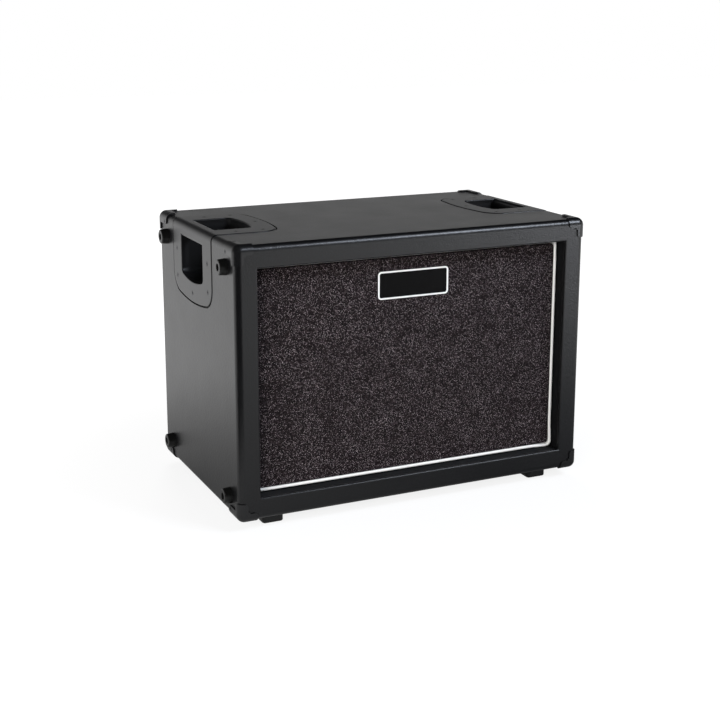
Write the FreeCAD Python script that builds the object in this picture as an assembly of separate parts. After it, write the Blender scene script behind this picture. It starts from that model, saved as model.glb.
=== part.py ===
import FreeCAD, Part
import math
import os

# Closed-back guitar speaker cabinet with one twelve-inch driver, in millimetres.
# +Z is up, the grille faces -Y, and the floor is z = 0 under the bottom feet.

# Cabinet body, measured over its covering
BODY_W = 540.0
BODY_D = 334.0
DRIVER_MARGIN = 16.7
EDGE_R = 9.0
VINYL_T = 0.8
PANEL_T = 18.0
JOINT_REBATE = 9.0
FRONT_BORDER = 31.0
LIP_R = 2.0
BOARD_FIT = 0.5

# Grille, piping and badge
GRILLE_FACE = 21.0
CLOTH_T = 0.8
GRILLE_FRAME_T = 10.0
GRILLE_FRAME_W = 18.0
GRILLE_CORNER_R = 6.0
PIPING_D = 4.2
PIPING_WALL_GAP = 1.9
WELT_T = 0.8
HOOK_PAD_T = 3.0
HOOK_PAD_L = 50.0
HOOK_PAD_INSET = 1.5
BADGE_W = 110.0
BADGE_H = 39.5
BADGE_T = 2.4
BADGE_CORNER_R = 5.0
BADGE_RIM_W = 2.2
BADGE_RIM_T = 0.8
BADGE_DROP = 43.5
BADGE_POST_R = 1.6
BADGE_POST_SPACING = 70.0
BADGE_POST_SHORT = 2.8
BADGE_TAB_W = 96.0
BADGE_TAB_BELOW_POST = 8.0

# Baffle board and its screws
BAFFLE_T = 18.0
BAFFLE_SCREW_L = 40.0
BAFFLE_SCREW_R = 2.0
BAFFLE_SCREW_HEAD_R = 4.0
BAFFLE_SCREW_X = 150.0
BAFFLE_SCREW_Z = 80.0

# Back panel, its cleats, seal and screws
BACK_INSET = 3.0
BACK_T = 12.0
BACK_GAP = 1.0
SEAL_T = 2.0
SEAL_W = 14.0
CLEAT = 20.0
BACK_SCREW_L = 30.0
BACK_SCREW_R = 2.0
BACK_SCREW_HEAD_R = 4.2
BACK_SCREW_X = 80.0
CUP_R = 7.0
CUP_TOP_R = 5.4
CUP_T = 2.2

# Corner-bar handles
HANDLE_Y = 12.0
HANDLE_MARGIN = 38.0
HANDLE_TIP = 29.0
HANDLE_SAG = 11.0
HANDLE_CORNER_R = 30.0
HANDLE_FLANGE_T = 3.0
HANDLE_PROUD = 0.6
HANDLE_WALL = 3.0
GRIP_HALF = 47.0
GRIP_REACH = 80.0
GRIP_SAG = 7.0
GRIP_CORNER_R = 8.0
GRIP_POCKET_R = 40.0
GRIP_BAR = 21.0
GRIP_BAR_R = 5.0
GRIP_MOUTH_R = 1.5
HANDLE_SEAT = 0.1
HANDLE_EDGE_GAP = 2.2
HANDLE_SCREW_HIGH = 42.0
HANDLE_SCREW_LOW = 82.0
HANDLE_SCREW_L = 16.0
HANDLE_SCREW_R = 1.8
HANDLE_SCREW_HEAD_R = 3.6

# Corner protectors
CORNER_T = 2.0
CORNER_LEG = 26.0
CORNER_LEG_W = 12.0
CORNER_LONG_LEG = 40.0
CORNER_LONG_LEG_W = 14.5
CORNER_TIP_R = 5.0
CORNER_SCREW_FROM_TIP = 8.0
CORNER_SCREW_FROM_EDGE = 3.5
CORNER_SCREW_L = 14.0
CORNER_SCREW_R = 1.6
CORNER_SCREW_HEAD_R = 3.1

# Feet
FOOT_H = 15.0
FOOT_W = 31.0
FOOT_CORNER_R = 5.0
FOOT_EDGE_R = 2.0
FOOT_INSET_X = 56.0
FOOT_INSET_Y = 35.0
SIDE_FOOT_H = 11.0
SIDE_FOOT_R = 11.5
SIDE_FOOT_TIP_R = 10.5
SIDE_FOOT_INSET_Y = 38.0
SIDE_FOOT_GAP_LOW = 2.0
SIDE_FOOT_GAP_HIGH = 6.5
FOOT_WEB = 5.0
FOOT_SCREW_R = 2.2
FOOT_SCREW_HEAD_R = 4.2
FOOT_SCREW_HEAD_T = 2.4
FOOT_SCREW_L = 18.0
FOOT_POCKET_R = 5.2

# Twelve-inch driver: radii, and depths behind the front face of its flange
FLANGE_R = 154.5
FLANGE_W = 21.5
BASKET_T = 2.0
BASKET_RIM_D = 22.0
BASKET_CUP_L = 22.0
BASKET_SHELF_W = 12.0
BASKET_CUP_R = 54.0
BASKET_D = 80.0
BASKET_BORE_MARGIN = 2.8
BASKET_WINDOWS = 6
BASKET_WINDOW_DEG = 40.0
BASKET_WINDOW_MARGIN = 4.0
GASKET_T = 4.0
GASKET_W = 12.5
CUTOUT_MARGIN = 1.0
BOLT_INSET = 6.0
BOLT_COUNT = 8
BOLT_R = 2.4
BOLT_HEAD_R = 4.6
BOLT_HEAD_T = 3.5
BOLT_SHORT_OF_FACE = 2.0
T_NUT_R = 7.0
T_NUT_T = 1.2
T_NUT_BARREL_R = 3.4
T_NUT_BARREL_L = 11.0
SURROUND_T = 0.6
SURROUND_PLEATS = 4
SURROUND_PLEAT_H = 0.6
SURROUND_LAND = 1.5
SURROUND_W = 12.0
CONE_T = 0.8
CONE_EDGE_D = 3.0
CONE_NECK_OVER_SHELF = 6.0
DUST_CAP_R = 38.0
DUST_CAP_H = 14.0
DUST_CAP_T = 0.6
POLE_R = 24.9
COIL_GAP = 0.5
FORMER_T = 0.5
FORMER_ABOVE_NECK = 2.0
WINDING_T = 0.8
WINDING_L = 14.0
SPIDER_T = 0.6
SPIDER_WAVES = 9
SPIDER_WAVE_H = 0.9
SPIDER_RISE = 2.0
SOFT_GAP = 0.3
GLUE_GAP = 0.05
TOP_PLATE_R = 70.0
TOP_PLATE_T = 8.0
MAGNET_R = 78.0
MAGNET_BORE_MARGIN = 8.8
MAGNET_T = 20.0
YOKE_R = 72.0
YOKE_T = 8.0
VENT_R = 9.0
TERMINAL_W = 32.0
TERMINAL_H = 16.0
TERMINAL_D = 14.0
TERMINAL_PITCH = 16.0
TERMINAL_GAP = 1.0
TAG_W = 6.3
TAG_T = 0.8
TAG_L = 8.0
TINSEL_R = 0.7
TINSEL_OUT = 12.0

# Jack dish on the back panel, its sockets and the leads inside
DISH_UP = 95.0
DISH_RIM_X = 16.0
DISH_RIM_Z = 15.0
DISH_CORNER_R = 8.0
DISH_T = 1.5
DISH_WELL_W = 92.0
DISH_WELL_H = 50.0
DISH_WELL_D = 22.0
DISH_FIT = 1.0
DISH_SCREW_INSET = 8.0
DISH_SCREW_L = 9.0
DISH_SCREW_R = 1.6
DISH_SCREW_HEAD_R = 3.2
DISH_SCREW_HEAD_T = 1.6
DISH_SCREW_DOME = 1.0
JACK_PITCH = 40.0
JACK_BORE_R = 3.25
JACK_END_WALL = 5.5
JACK_NECK_R = 4.7
JACK_NECK_L = 6.0
JACK_NECK_FIT = 0.2
JACK_BODY_W = 20.0
JACK_BODY_H = 22.0
JACK_BODY_L = 28.0
JACK_BODY_CORNER_R = 1.0
JACK_NUT_AF = 12.7
JACK_NUT_T = 2.6
JACK_TAG_L = 6.0
LEAD_R = 1.4
LEAD_DROP = 44.0
LEAD_STRAIGHT = 18.0

# Clearance round screws, how far a cutting tool runs past a face, and how much of
# the shorter run beside a bend in a wire its arc takes up
SCREW_FIT = 0.15
PAST = 1.0
ARC_SHARE = 0.45

# Cross recess in the screws' heads, as shares of the head's radius
RECESS_SPAN = 0.56
RECESS_FLOOR = 0.22
RECESS_DEPTH = 0.5
RECESS_W = 0.24

# Faces and centre lines that the sizes above give; the driver sets the cabinet's height
BODY_H = 2 * (FLANGE_R + DRIVER_MARGIN + PANEL_T + VINYL_T)
LEFT, RIGHT = -BODY_W / 2, BODY_W / 2
FRONT, BACK = -BODY_D / 2, BODY_D / 2
BOTTOM, TOP = FOOT_H, FOOT_H + BODY_H
MID_Z = (BOTTOM + TOP) / 2
INNER_X = RIGHT - VINYL_T - PANEL_T
INNER_LOW = BOTTOM + VINYL_T + PANEL_T
INNER_HIGH = TOP - VINYL_T - PANEL_T
OPEN_X = RIGHT - FRONT_BORDER
OPEN_LOW, OPEN_HIGH = BOTTOM + FRONT_BORDER, TOP - FRONT_BORDER
CLOTH_Y = FRONT + GRILLE_FACE
FRAME_Y = CLOTH_Y + CLOTH_T
FRAME_BACK_Y = FRAME_Y + GRILLE_FRAME_T
BAFFLE_Y = FRAME_BACK_Y + HOOK_PAD_T
BAFFLE_BACK_Y = BAFFLE_Y + BAFFLE_T
FLANGE_Y = BAFFLE_BACK_Y + GASKET_T
CLOTH_X = OPEN_X - PIPING_WALL_GAP - PIPING_D
CLOTH_HALF_H = (OPEN_HIGH - OPEN_LOW) / 2 - PIPING_WALL_GAP - PIPING_D
BACK_FACE_Y = BACK - BACK_INSET
BACK_INNER_Y = BACK_FACE_Y - BACK_T
CLEAT_BACK_Y = BACK_INNER_Y - SEAL_T
BADGE_Z = OPEN_HIGH - BADGE_DROP
HANDLE_HALF = GRIP_HALF + HANDLE_MARGIN
HANDLE_REACH = GRIP_REACH + HANDLE_TIP
CORNER_SCREW_ALONG = CORNER_LONG_LEG - CORNER_SCREW_FROM_TIP
CORNER_SCREW_IN = CORNER_LONG_LEG_W - CORNER_SCREW_FROM_EDGE
SIDE_FOOT_LOW = CORNER_LONG_LEG_W + SIDE_FOOT_R + SIDE_FOOT_GAP_LOW
SIDE_FOOT_HIGH = CORNER_LONG_LEG_W + SIDE_FOOT_R + SIDE_FOOT_GAP_HIGH
FLANGE_IN_R = FLANGE_R - FLANGE_W
GASKET_IN_R = FLANGE_R - GASKET_W
CUTOUT_R = GASKET_IN_R - CUTOUT_MARGIN
BOLT_CIRCLE_R = FLANGE_R - BOLT_INSET
CONE_R = FLANGE_IN_R - SURROUND_W
BASKET_SHELF_R = BASKET_CUP_R + BASKET_SHELF_W
BASKET_SHELF_D = BASKET_D - BASKET_CUP_L
CONE_NECK_D = BASKET_SHELF_D - CONE_NECK_OVER_SHELF
FORMER_R = POLE_R + COIL_GAP + FORMER_T
GAP_BORE_R = FORMER_R + WINDING_T + COIL_GAP
BASKET_BORE_R = GAP_BORE_R + BASKET_BORE_MARGIN
MAGNET_IN_R = GAP_BORE_R + MAGNET_BORE_MARGIN
DISH_W, DISH_H = DISH_WELL_W + 2 * DISH_RIM_X, DISH_WELL_H + 2 * DISH_RIM_Z
DISH_Z = BOTTOM + DISH_UP
DISH_FLOOR_Y = BACK_FACE_Y + DISH_T - DISH_WELL_D
JACK_FACE_Y = DISH_FLOOR_Y - DISH_T
# The origin is the middle of the whole footprint, side feet included.
ORIGIN_SHIFT = FreeCAD.Vector((SIDE_FOOT_H - CORNER_T) / 2, 0, 0)


def vec(x, y, z):
    return FreeCAD.Vector(x, y, z)


def box(x0, y0, z0, x1, y1, z1):
    return Part.makeBox(x1 - x0, y1 - y0, z1 - z0, vec(x0, y0, z0))


def rounded_box(x0, y0, z0, x1, y1, z1, radius):
    block = box(x0, y0, z0, x1, y1, z1)
    return block.makeFillet(radius, block.Edges)


def fillet_at(shape, radius, points):
    """Round the edges whose middles lie on the given points."""
    picked = [
        edge for edge in shape.Edges
        if any(edge.CenterOfMass.distanceToPoint(p) < 1e-3 for p in points)
    ]
    return shape.makeFillet(radius, picked)


def slab(half_x, half_z, radius, y0, y1, mid_z, mid_x=0.0):
    """An upright plate with rounded corners, facing along Y."""
    plate = box(mid_x - half_x, y0, mid_z - half_z, mid_x + half_x, y1, mid_z + half_z)
    corners = [
        vec(mid_x + sx * half_x, (y0 + y1) / 2, mid_z + sz * half_z)
        for sx in (-1, 1) for sz in (-1, 1)
    ]
    return fillet_at(plate, radius, corners)


def rod(start, along, radius, length):
    return Part.makeCylinder(radius, length, start, along)


def cross_recess(head, along, head_radius):
    """Two crossed slots that narrow towards their floor, cut into a screw's head."""
    across = vec(1, 0, 0) if abs(along.z) > 0.5 else vec(0, 0, 1)
    span, floor = RECESS_SPAN * head_radius, RECESS_FLOOR * head_radius
    deep = along * (RECESS_DEPTH * head_radius)
    slots = []
    for u, v in ((across, along.cross(across)), (along.cross(across), across)):
        width = v * (RECESS_W * head_radius)
        outline = [head - u * span - along * PAST, head + u * span - along * PAST, head + u * span,
                   head + u * floor + deep, head - u * floor + deep, head - u * span]
        slot = Part.Face(Part.makePolygon(outline + outline[:1])).extrude(width)
        slot.translate(width * -0.5)
        slots.append(slot)
    return slots


def sunk_screw(head, along, radius, head_radius, length):
    """A countersunk screw; head is the middle of its flat top."""
    taper = head_radius - radius
    cone = Part.makeCone(head_radius, radius, taper, head, along)
    blank = cone.fuse(rod(head, along, radius, length)).removeSplitter()
    return blank.cut(cross_recess(head, along, head_radius))


def sunk_hole(head, along, radius, head_radius, length):
    """The hole for such a screw, with clearance all round and past its head."""
    wide = head_radius + SCREW_FIT
    narrow = radius + SCREW_FIT
    cone = Part.makeCone(wide, narrow, wide - narrow, head, along)
    mouth = rod(head - along * PAST, along, wide, PAST)
    return cone.fuse(rod(head, along, narrow, length + SCREW_FIT)).fuse(mouth)


def mirrored(shape):
    return shape.mirror(vec(0, 0, 0), vec(1, 0, 0))


def save(name, shape):
    placed = shape.copy()
    placed.translate(ORIGIN_SHIFT)
    placed.exportStep("parts/" + name + ".step")


# Covering, boards and rails

def cabinet_block(skin):
    """The body's outside, taken in by the thickness of the covering, with its two mouths."""
    block = rounded_box(LEFT + skin, FRONT + skin, BOTTOM + skin,
                        RIGHT - skin, BACK - skin, TOP - skin, EDGE_R - skin)
    mouths = (
        (OPEN_X + skin, OPEN_LOW - skin, OPEN_HIGH + skin, FRONT - PAST, BAFFLE_Y, FRONT + skin),
        (INNER_X - VINYL_T + skin, INNER_LOW + VINYL_T - skin, INNER_HIGH - VINYL_T + skin,
         CLEAT_BACK_Y, BACK + PAST, BACK - skin),
    )
    for half_x, low, high, y0, y1, face in mouths:
        block = block.cut(box(-half_x, y0, low, half_x, y1, high))
        middle = (low + high) / 2
        lips = [vec(-half_x, face, middle), vec(half_x, face, middle),
                vec(0, face, low), vec(0, face, high)]
        block = fillet_at(block, LIP_R - skin, lips)
    return block


def board_blanks(core):
    """The four boards of the shell, rebated into each other at the corners."""
    out = BODY_W
    deep = (FRONT - PAST, BACK + PAST)
    blanks = {}
    for name, low, high, joint in (
        ("top_panel", INNER_HIGH, TOP + PAST, (INNER_HIGH, INNER_HIGH + JOINT_REBATE)),
        ("bottom_panel", BOTTOM - PAST, INNER_LOW, (INNER_LOW - JOINT_REBATE, INNER_LOW)),
    ):
        board = core.common(box(-out, deep[0], low, out, deep[1], high))
        rebates = [
            box(x0, deep[0], joint[0], x1, deep[1], joint[1])
            for x0, x1 in ((-out, -INNER_X), (INNER_X, out))
        ]
        blanks[name] = board.cut(rebates)
    for name, x0, x1 in (("left_panel", -out, -INNER_X), ("right_panel", INNER_X, out)):
        upright = box(x0, deep[0], INNER_LOW - JOINT_REBATE, x1, deep[1], INNER_HIGH + JOINT_REBATE)
        blanks[name] = core.common(upright)
    return blanks


def front_rails(core):
    """Rails glued inside the front of the boards; they widen the front border."""
    wood_low, wood_high = OPEN_LOW - VINYL_T, OPEN_HIGH + VINYL_T
    wood_x = OPEN_X + VINYL_T
    spans = {
        "front_rail_top": (-INNER_X, wood_high, INNER_X, INNER_HIGH),
        "front_rail_bottom": (-INNER_X, INNER_LOW, INNER_X, wood_low),
        "front_rail_left": (-INNER_X, wood_low, -wood_x, wood_high),
        "front_rail_right": (wood_x, wood_low, INNER_X, wood_high),
    }
    return {
        name: core.common(box(x0, FRONT, z0, x1, BAFFLE_Y, z1))
        for name, (x0, z0, x1, z1) in spans.items()
    }


def rear_cleats():
    front = CLEAT_BACK_Y - CLEAT
    spans = {
        "rear_cleat_top": (-INNER_X, INNER_HIGH - CLEAT, INNER_X, INNER_HIGH),
        "rear_cleat_bottom": (-INNER_X, INNER_LOW, INNER_X, INNER_LOW + CLEAT),
        "rear_cleat_left": (-INNER_X, INNER_LOW + CLEAT, -INNER_X + CLEAT, INNER_HIGH - CLEAT),
        "rear_cleat_right": (INNER_X - CLEAT, INNER_LOW + CLEAT, INNER_X, INNER_HIGH - CLEAT),
    }
    return {
        name: box(x0, front, z0, x1, CLEAT_BACK_Y, z1)
        for name, (x0, z0, x1, z1) in spans.items()
    }


# Handles: b runs away from the top edge, down the side or in across the top

def on_side(a, b):
    return vec(LEFT, HANDLE_Y + a, TOP - b)


def on_top(a, b):
    return vec(LEFT + b, HANDLE_Y + a, TOP)


FACES = ((on_side, vec(1, 0, 0)), (on_top, vec(0, 0, -1)))


def tongue(place, inward, outside, depth, half, reach, sag, corner_r):
    """A prism with the handle's U outline: square at the edge, bowed at the tip."""
    lift = inward * -outside
    shoulder = reach - sag
    flat = [place(-half, shoulder), place(-half, -outside), place(half, -outside), place(half, shoulder)]
    lines = [Part.LineSegment(p, q).toShape() for p, q in zip(flat, flat[1:])]
    bow = Part.Arc(flat[3], place(0, reach), flat[0]).toShape()
    face = Part.Face(Part.Wire(lines + [bow]))
    face.translate(lift)
    prism = face.extrude(inward * (outside + depth))
    middle = inward * ((depth - outside) / 2)
    return fillet_at(prism, corner_r, [flat[0] + middle, flat[3] + middle])


def edge_block(inset, reach):
    """The cabinet's top left edge as a square block with its rounded corner."""
    x0, z1 = LEFT + inset, TOP - inset
    y0, y1 = HANDLE_Y - 2 * HANDLE_HALF, HANDLE_Y + 2 * HANDLE_HALF
    block = box(x0, y0, TOP - reach, LEFT + reach, y1, z1)
    return fillet_at(block, EDGE_R - inset, [vec(x0, HANDLE_Y, z1)])


def handle_outline(grow, depth):
    """Both flanges' outlines, grown by a gap and taken to a depth below the faces."""
    tongues = [
        tongue(place, inward, 2 * EDGE_R, depth, HANDLE_HALF + grow, HANDLE_REACH + grow,
               HANDLE_SAG, HANDLE_CORNER_R + grow)
        for place, inward in FACES
    ]
    return tongues[0].fuse(tongues[1])


def handle_pocket(grow):
    """The hand hole, open on both faces, with its walls moved out by grow."""
    reach = GRIP_REACH + grow
    half = GRIP_HALF + grow
    out = 2 * EDGE_R
    pocket = box(LEFT - out, HANDLE_Y - half, TOP - reach, LEFT + reach, HANDLE_Y + half, TOP + out)
    pocket = fillet_at(pocket, GRIP_POCKET_R + grow, [vec(LEFT + reach, HANDLE_Y, TOP - reach)])
    for place, inward in FACES:
        pocket = pocket.common(tongue(place, inward, out, reach + PAST, half, reach,
                                      GRIP_SAG, GRIP_CORNER_R + grow))
    return pocket


def grip_bar():
    x0, z1 = LEFT - HANDLE_PROUD, TOP + HANDLE_PROUD
    x1, z0 = LEFT + GRIP_BAR, TOP - GRIP_BAR
    half = GRIP_HALF + HANDLE_WALL
    bar = box(x0, HANDLE_Y - half, z0, x1, HANDLE_Y + half, z1)
    bar = fillet_at(bar, EDGE_R + HANDLE_PROUD, [vec(x0, HANDLE_Y, z1)])
    return fillet_at(bar, GRIP_BAR_R, [vec(x1, HANDLE_Y, z1), vec(x0, HANDLE_Y, z0), vec(x1, HANDLE_Y, z0)])


def handle_screw_places():
    """Screw heads on both flanges, as points and directions."""
    beside = (HANDLE_HALF + GRIP_HALF + HANDLE_WALL) / 2
    tip = (HANDLE_REACH + GRIP_REACH + HANDLE_WALL) / 2
    spots = [(s * beside, b) for s in (-1, 1) for b in (HANDLE_SCREW_HIGH, HANDLE_SCREW_LOW)]
    spots.append((0, tip))
    return [
        (place(a, b) - inward * HANDLE_PROUD, inward)
        for place, inward in FACES for a, b in spots
    ]


HANDLE_SCREW = (HANDLE_SCREW_R, HANDLE_SCREW_HEAD_R, HANDLE_SCREW_L)


def mouth_edges(body):
    """The edges of the hand hole that lie in a flange's face, up to the bar."""
    edges = []
    for edge in body.Edges:
        span = edge.BoundBox
        inside = abs(edge.CenterOfMass.y - HANDLE_Y) < GRIP_HALF + HANDLE_WALL
        on_side_face = span.XMax < LEFT - HANDLE_PROUD / 2 and span.ZMin < TOP - GRIP_BAR
        on_top_face = span.ZMin > TOP + HANDLE_PROUD / 2 and span.XMax > LEFT + GRIP_BAR
        if inside and (on_side_face or on_top_face):
            edges.append(edge)
    return edges


def left_handle():
    """Two flanges round the edge, a pocket behind them and the bar across it."""
    reach = HANDLE_REACH + PAST
    outside = edge_block(-HANDLE_PROUD, reach)
    angle = outside.cut(edge_block(HANDLE_FLANGE_T - HANDLE_PROUD, reach + PAST))
    flanges = angle.common(handle_outline(0, HANDLE_FLANGE_T))
    body = flanges.fuse(outside.common(handle_pocket(HANDLE_WALL)))
    body = body.cut(handle_pocket(0).cut(grip_bar())).removeSplitter()
    body = body.makeFillet(GRIP_MOUTH_R, mouth_edges(body))
    holes = [sunk_hole(head, along, *HANDLE_SCREW) for head, along in handle_screw_places()]
    return body.cut(holes)


def handle_seat():
    """What the boards and covering lose to the left handle."""
    under = HANDLE_FLANGE_T - HANDLE_PROUD + HANDLE_SEAT
    reach = 2 * HANDLE_REACH
    angle = edge_block(-EDGE_R, reach).cut(edge_block(under, reach + PAST))
    rebate = angle.common(handle_outline(HANDLE_EDGE_GAP, under + PAST))
    return rebate.fuse(handle_pocket(HANDLE_WALL + HANDLE_EDGE_GAP))


# Corner protectors

def reach_in(side, face, length):
    """The span from outside a face to a length inside it, low end first."""
    return sorted((face + side * 2 * CORNER_T, face - side * length))


def corner_leg(sides, faces, lengths, along):
    spans = [reach_in(s, f, n) for s, f, n in zip(sides, faces, lengths)]
    leg = box(*[span[0] for span in spans], *[span[1] for span in spans])
    middle = [(span[0] + span[1]) / 2 for span in spans]
    inner = [f - s * n for s, f, n in zip(sides, faces, lengths)]
    tips = []
    for other in range(3):
        if other != along:
            point = list(middle)
            point[along] = inner[along]
            point[other] = inner[other]
            tips.append(vec(*point))
    return fillet_at(leg, CORNER_TIP_R, tips)


def corner_protector(shell, sides):
    """Three legs along the edges that meet at one corner of the cabinet."""
    faces = [RIGHT * sides[0], BACK * sides[1], TOP if sides[2] > 0 else BOTTOM]
    leg_x = (CORNER_LEG, CORNER_LEG_W, CORNER_LEG_W)
    leg_y = (CORNER_LONG_LEG_W, CORNER_LONG_LEG, CORNER_LONG_LEG_W)
    leg_z = (CORNER_LEG_W, CORNER_LEG_W, CORNER_LEG)
    legs = [corner_leg(sides, faces, n, along) for along, n in enumerate((leg_x, leg_y, leg_z))]
    return shell.common(legs[0].fuse(legs[1:]))


def corner_screw_places(sides):
    sx, sy, sz = sides
    y = sy * (BACK - CORNER_SCREW_ALONG)
    level = (TOP if sz > 0 else BOTTOM)
    flat = vec(sx * (RIGHT - CORNER_SCREW_IN), y, level + sz * CORNER_T)
    upright = vec(sx * (RIGHT + CORNER_T), y, level - sz * CORNER_SCREW_IN)
    return [(flat, vec(0, 0, -sz)), (upright, vec(-sx, 0, 0))]


CORNER_SCREW = (CORNER_SCREW_R, CORNER_SCREW_HEAD_R, CORNER_SCREW_L)
CORNERS = [(sx, sy, sz) for sy in (-1, 1) for sz in (1, -1) for sx in (-1, 1)]


def corner_name(sides):
    words = ("left" if sides[0] < 0 else "right", "front" if sides[1] < 0 else "rear",
             "top" if sides[2] > 0 else "bottom")
    return "corner_{1}_{2}_{0}".format(*words)


# Feet

def foot_screw(seat, along):
    head = rod(seat, -along, FOOT_SCREW_HEAD_R, FOOT_SCREW_HEAD_T)
    return head.fuse(rod(seat, along, FOOT_SCREW_R, FOOT_SCREW_L)).removeSplitter()


def bottom_foot(x, y):
    """A rubber block with a pocket for its screw, and the screw's seat."""
    half = FOOT_W / 2
    block = box(x - half, y - half, 0, x + half, y + half, FOOT_H)
    uprights = [vec(x + sx * half, y + sy * half, FOOT_H / 2) for sx in (-1, 1) for sy in (-1, 1)]
    block = fillet_at(block, FOOT_CORNER_R, uprights)
    rim = [e for e in block.Edges if e.BoundBox.ZMax < FOOT_EDGE_R]
    block = block.makeFillet(FOOT_EDGE_R, rim)
    seat = vec(x, y, FOOT_H - FOOT_WEB)
    return drilled_foot(block, seat, vec(0, 0, 1)), seat


def side_foot(y, z):
    block = Part.makeCone(SIDE_FOOT_R, SIDE_FOOT_TIP_R, SIDE_FOOT_H, vec(LEFT, y, z), vec(-1, 0, 0))
    rim = [e for e in block.Edges if e.BoundBox.XMax < LEFT - SIDE_FOOT_H + FOOT_EDGE_R]
    block = block.makeFillet(FOOT_EDGE_R, rim)
    seat = vec(LEFT - FOOT_WEB, y, z)
    return drilled_foot(block, seat, vec(1, 0, 0)), seat


def drilled_foot(block, seat, along):
    pocket = rod(seat, -along, FOOT_POCKET_R, FOOT_H + SIDE_FOOT_H)
    hole = rod(seat, along, FOOT_SCREW_R + SCREW_FIT, FOOT_WEB + PAST)
    return block.cut([pocket, hole])


def all_feet():
    standing = [
        bottom_foot(sx * (RIGHT - FOOT_INSET_X), sy * (BACK - FOOT_INSET_Y))
        for sx in (-1, 1) for sy in (-1, 1)
    ]
    levels = (BOTTOM + SIDE_FOOT_LOW, TOP - SIDE_FOOT_HIGH)
    lying = [side_foot(sy * (BACK - SIDE_FOOT_INSET_Y), z) for sy in (-1, 1) for z in levels]
    places = [(seat, vec(0, 0, 1)) for _, seat in standing]
    places += [(seat, vec(1, 0, 0)) for _, seat in lying]
    return [foot for foot, _ in standing], [foot for foot, _ in lying], places


# Grille

def grille_slab(grow, y0, y1):
    """The grille's rounded outline, grown from the outside of its frame."""
    half_x = CLOTH_X - CLOTH_T + grow
    half_z = CLOTH_HALF_H - CLOTH_T + grow
    return slab(half_x, half_z, GRILLE_CORNER_R + grow, y0, y1, MID_Z)


def badge_posts(radius):
    length = FRAME_BACK_Y - CLOTH_Y - BADGE_POST_SHORT
    return [
        rod(vec(s * BADGE_POST_SPACING / 2, CLOTH_Y, BADGE_Z), vec(0, 1, 0), radius, length)
        for s in (-1, 1)
    ]


def grille_frame():
    """A board frame with a tab that the badge is pinned to."""
    outer = grille_slab(0, FRAME_Y, FRAME_BACK_Y)
    half_x = CLOTH_X - CLOTH_T - GRILLE_FRAME_W
    half_z = CLOTH_HALF_H - CLOTH_T - GRILLE_FRAME_W
    window = slab(half_x, half_z, GRILLE_CORNER_R, FRAME_Y - PAST, FRAME_BACK_Y + PAST, MID_Z)
    tab_low = BADGE_Z - BADGE_TAB_BELOW_POST
    tab = box(-BADGE_TAB_W / 2, FRAME_Y, tab_low, BADGE_TAB_W / 2, FRAME_BACK_Y, MID_Z + half_z + PAST)
    return outer.cut(window).fuse(tab).removeSplitter().cut(badge_posts(BADGE_POST_R + SCREW_FIT))


def grille_cloth():
    """Cloth stretched over the frame's face and down its edges."""
    over = grille_slab(CLOTH_T, CLOTH_Y, FRAME_BACK_Y)
    under = grille_slab(0, FRAME_Y, FRAME_BACK_Y + PAST)
    return over.cut(under).cut(badge_posts(BADGE_POST_R + SCREW_FIT))


def rounded_loop(half_x, half_z, radius, y):
    """A closed rounded rectangle of lines and arcs, upright at one depth."""
    lean = radius * (1 - math.sqrt(0.5))
    edges = []
    for sx, sz, turn in ((1, 1, 1), (1, -1, -1), (-1, -1, 1), (-1, 1, -1)):
        corner = vec(sx * half_x, y, MID_Z + sz * half_z)
        along_x, along_z = vec(-sx * radius, 0, 0), vec(0, 0, -sz * radius)
        start, end = (corner + along_x, corner + along_z)
        if turn < 0:
            start, end = end, start
        middle = corner + vec(-sx * lean, 0, -sz * lean)
        edges.append(Part.Arc(start, middle, end).toShape())
    joined = []
    for arc, following in zip(edges, edges[1:] + edges[:1]):
        joined += [arc, Part.LineSegment(arc.Vertexes[-1].Point, following.Vertexes[0].Point).toShape()]
    return Part.Wire(Part.__sortEdges__(joined))


def grille_piping():
    """A round bead on the frame's front edge, with the flat welt that holds it."""
    bead_r = PIPING_D / 2
    path = rounded_loop(CLOTH_X + bead_r, CLOTH_HALF_H + bead_r,
                        GRILLE_CORNER_R + CLOTH_T + bead_r, CLOTH_Y)
    start = vec(0, CLOTH_Y, MID_Z + CLOTH_HALF_H + bead_r)
    section = Part.Wire(Part.makeCircle(bead_r, start, vec(1, 0, 0)))
    bead = path.makePipeShell([section], True, False)
    welt = grille_slab(CLOTH_T + WELT_T, CLOTH_Y, FRAME_BACK_Y)
    welt = welt.cut(grille_slab(CLOTH_T, CLOTH_Y - PAST, FRAME_BACK_Y + PAST))
    return bead.fuse(welt).removeSplitter()


def hook_pads():
    """Hook-and-loop pads between the frame's members and the baffle."""
    width = GRILLE_FRAME_W - 2 * HOOK_PAD_INSET
    x = CLOTH_X - CLOTH_T - GRILLE_FRAME_W / 2
    high = CLOTH_HALF_H - CLOTH_T - GRILLE_CORNER_R - HOOK_PAD_L / 2
    return [
        box(sx * x - width / 2, FRAME_BACK_Y, MID_Z + z - HOOK_PAD_L / 2,
            sx * x + width / 2, BAFFLE_Y, MID_Z + z + HOOK_PAD_L / 2)
        for sx in (-1, 1) for z in (-high, 0, high)
    ]


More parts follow.
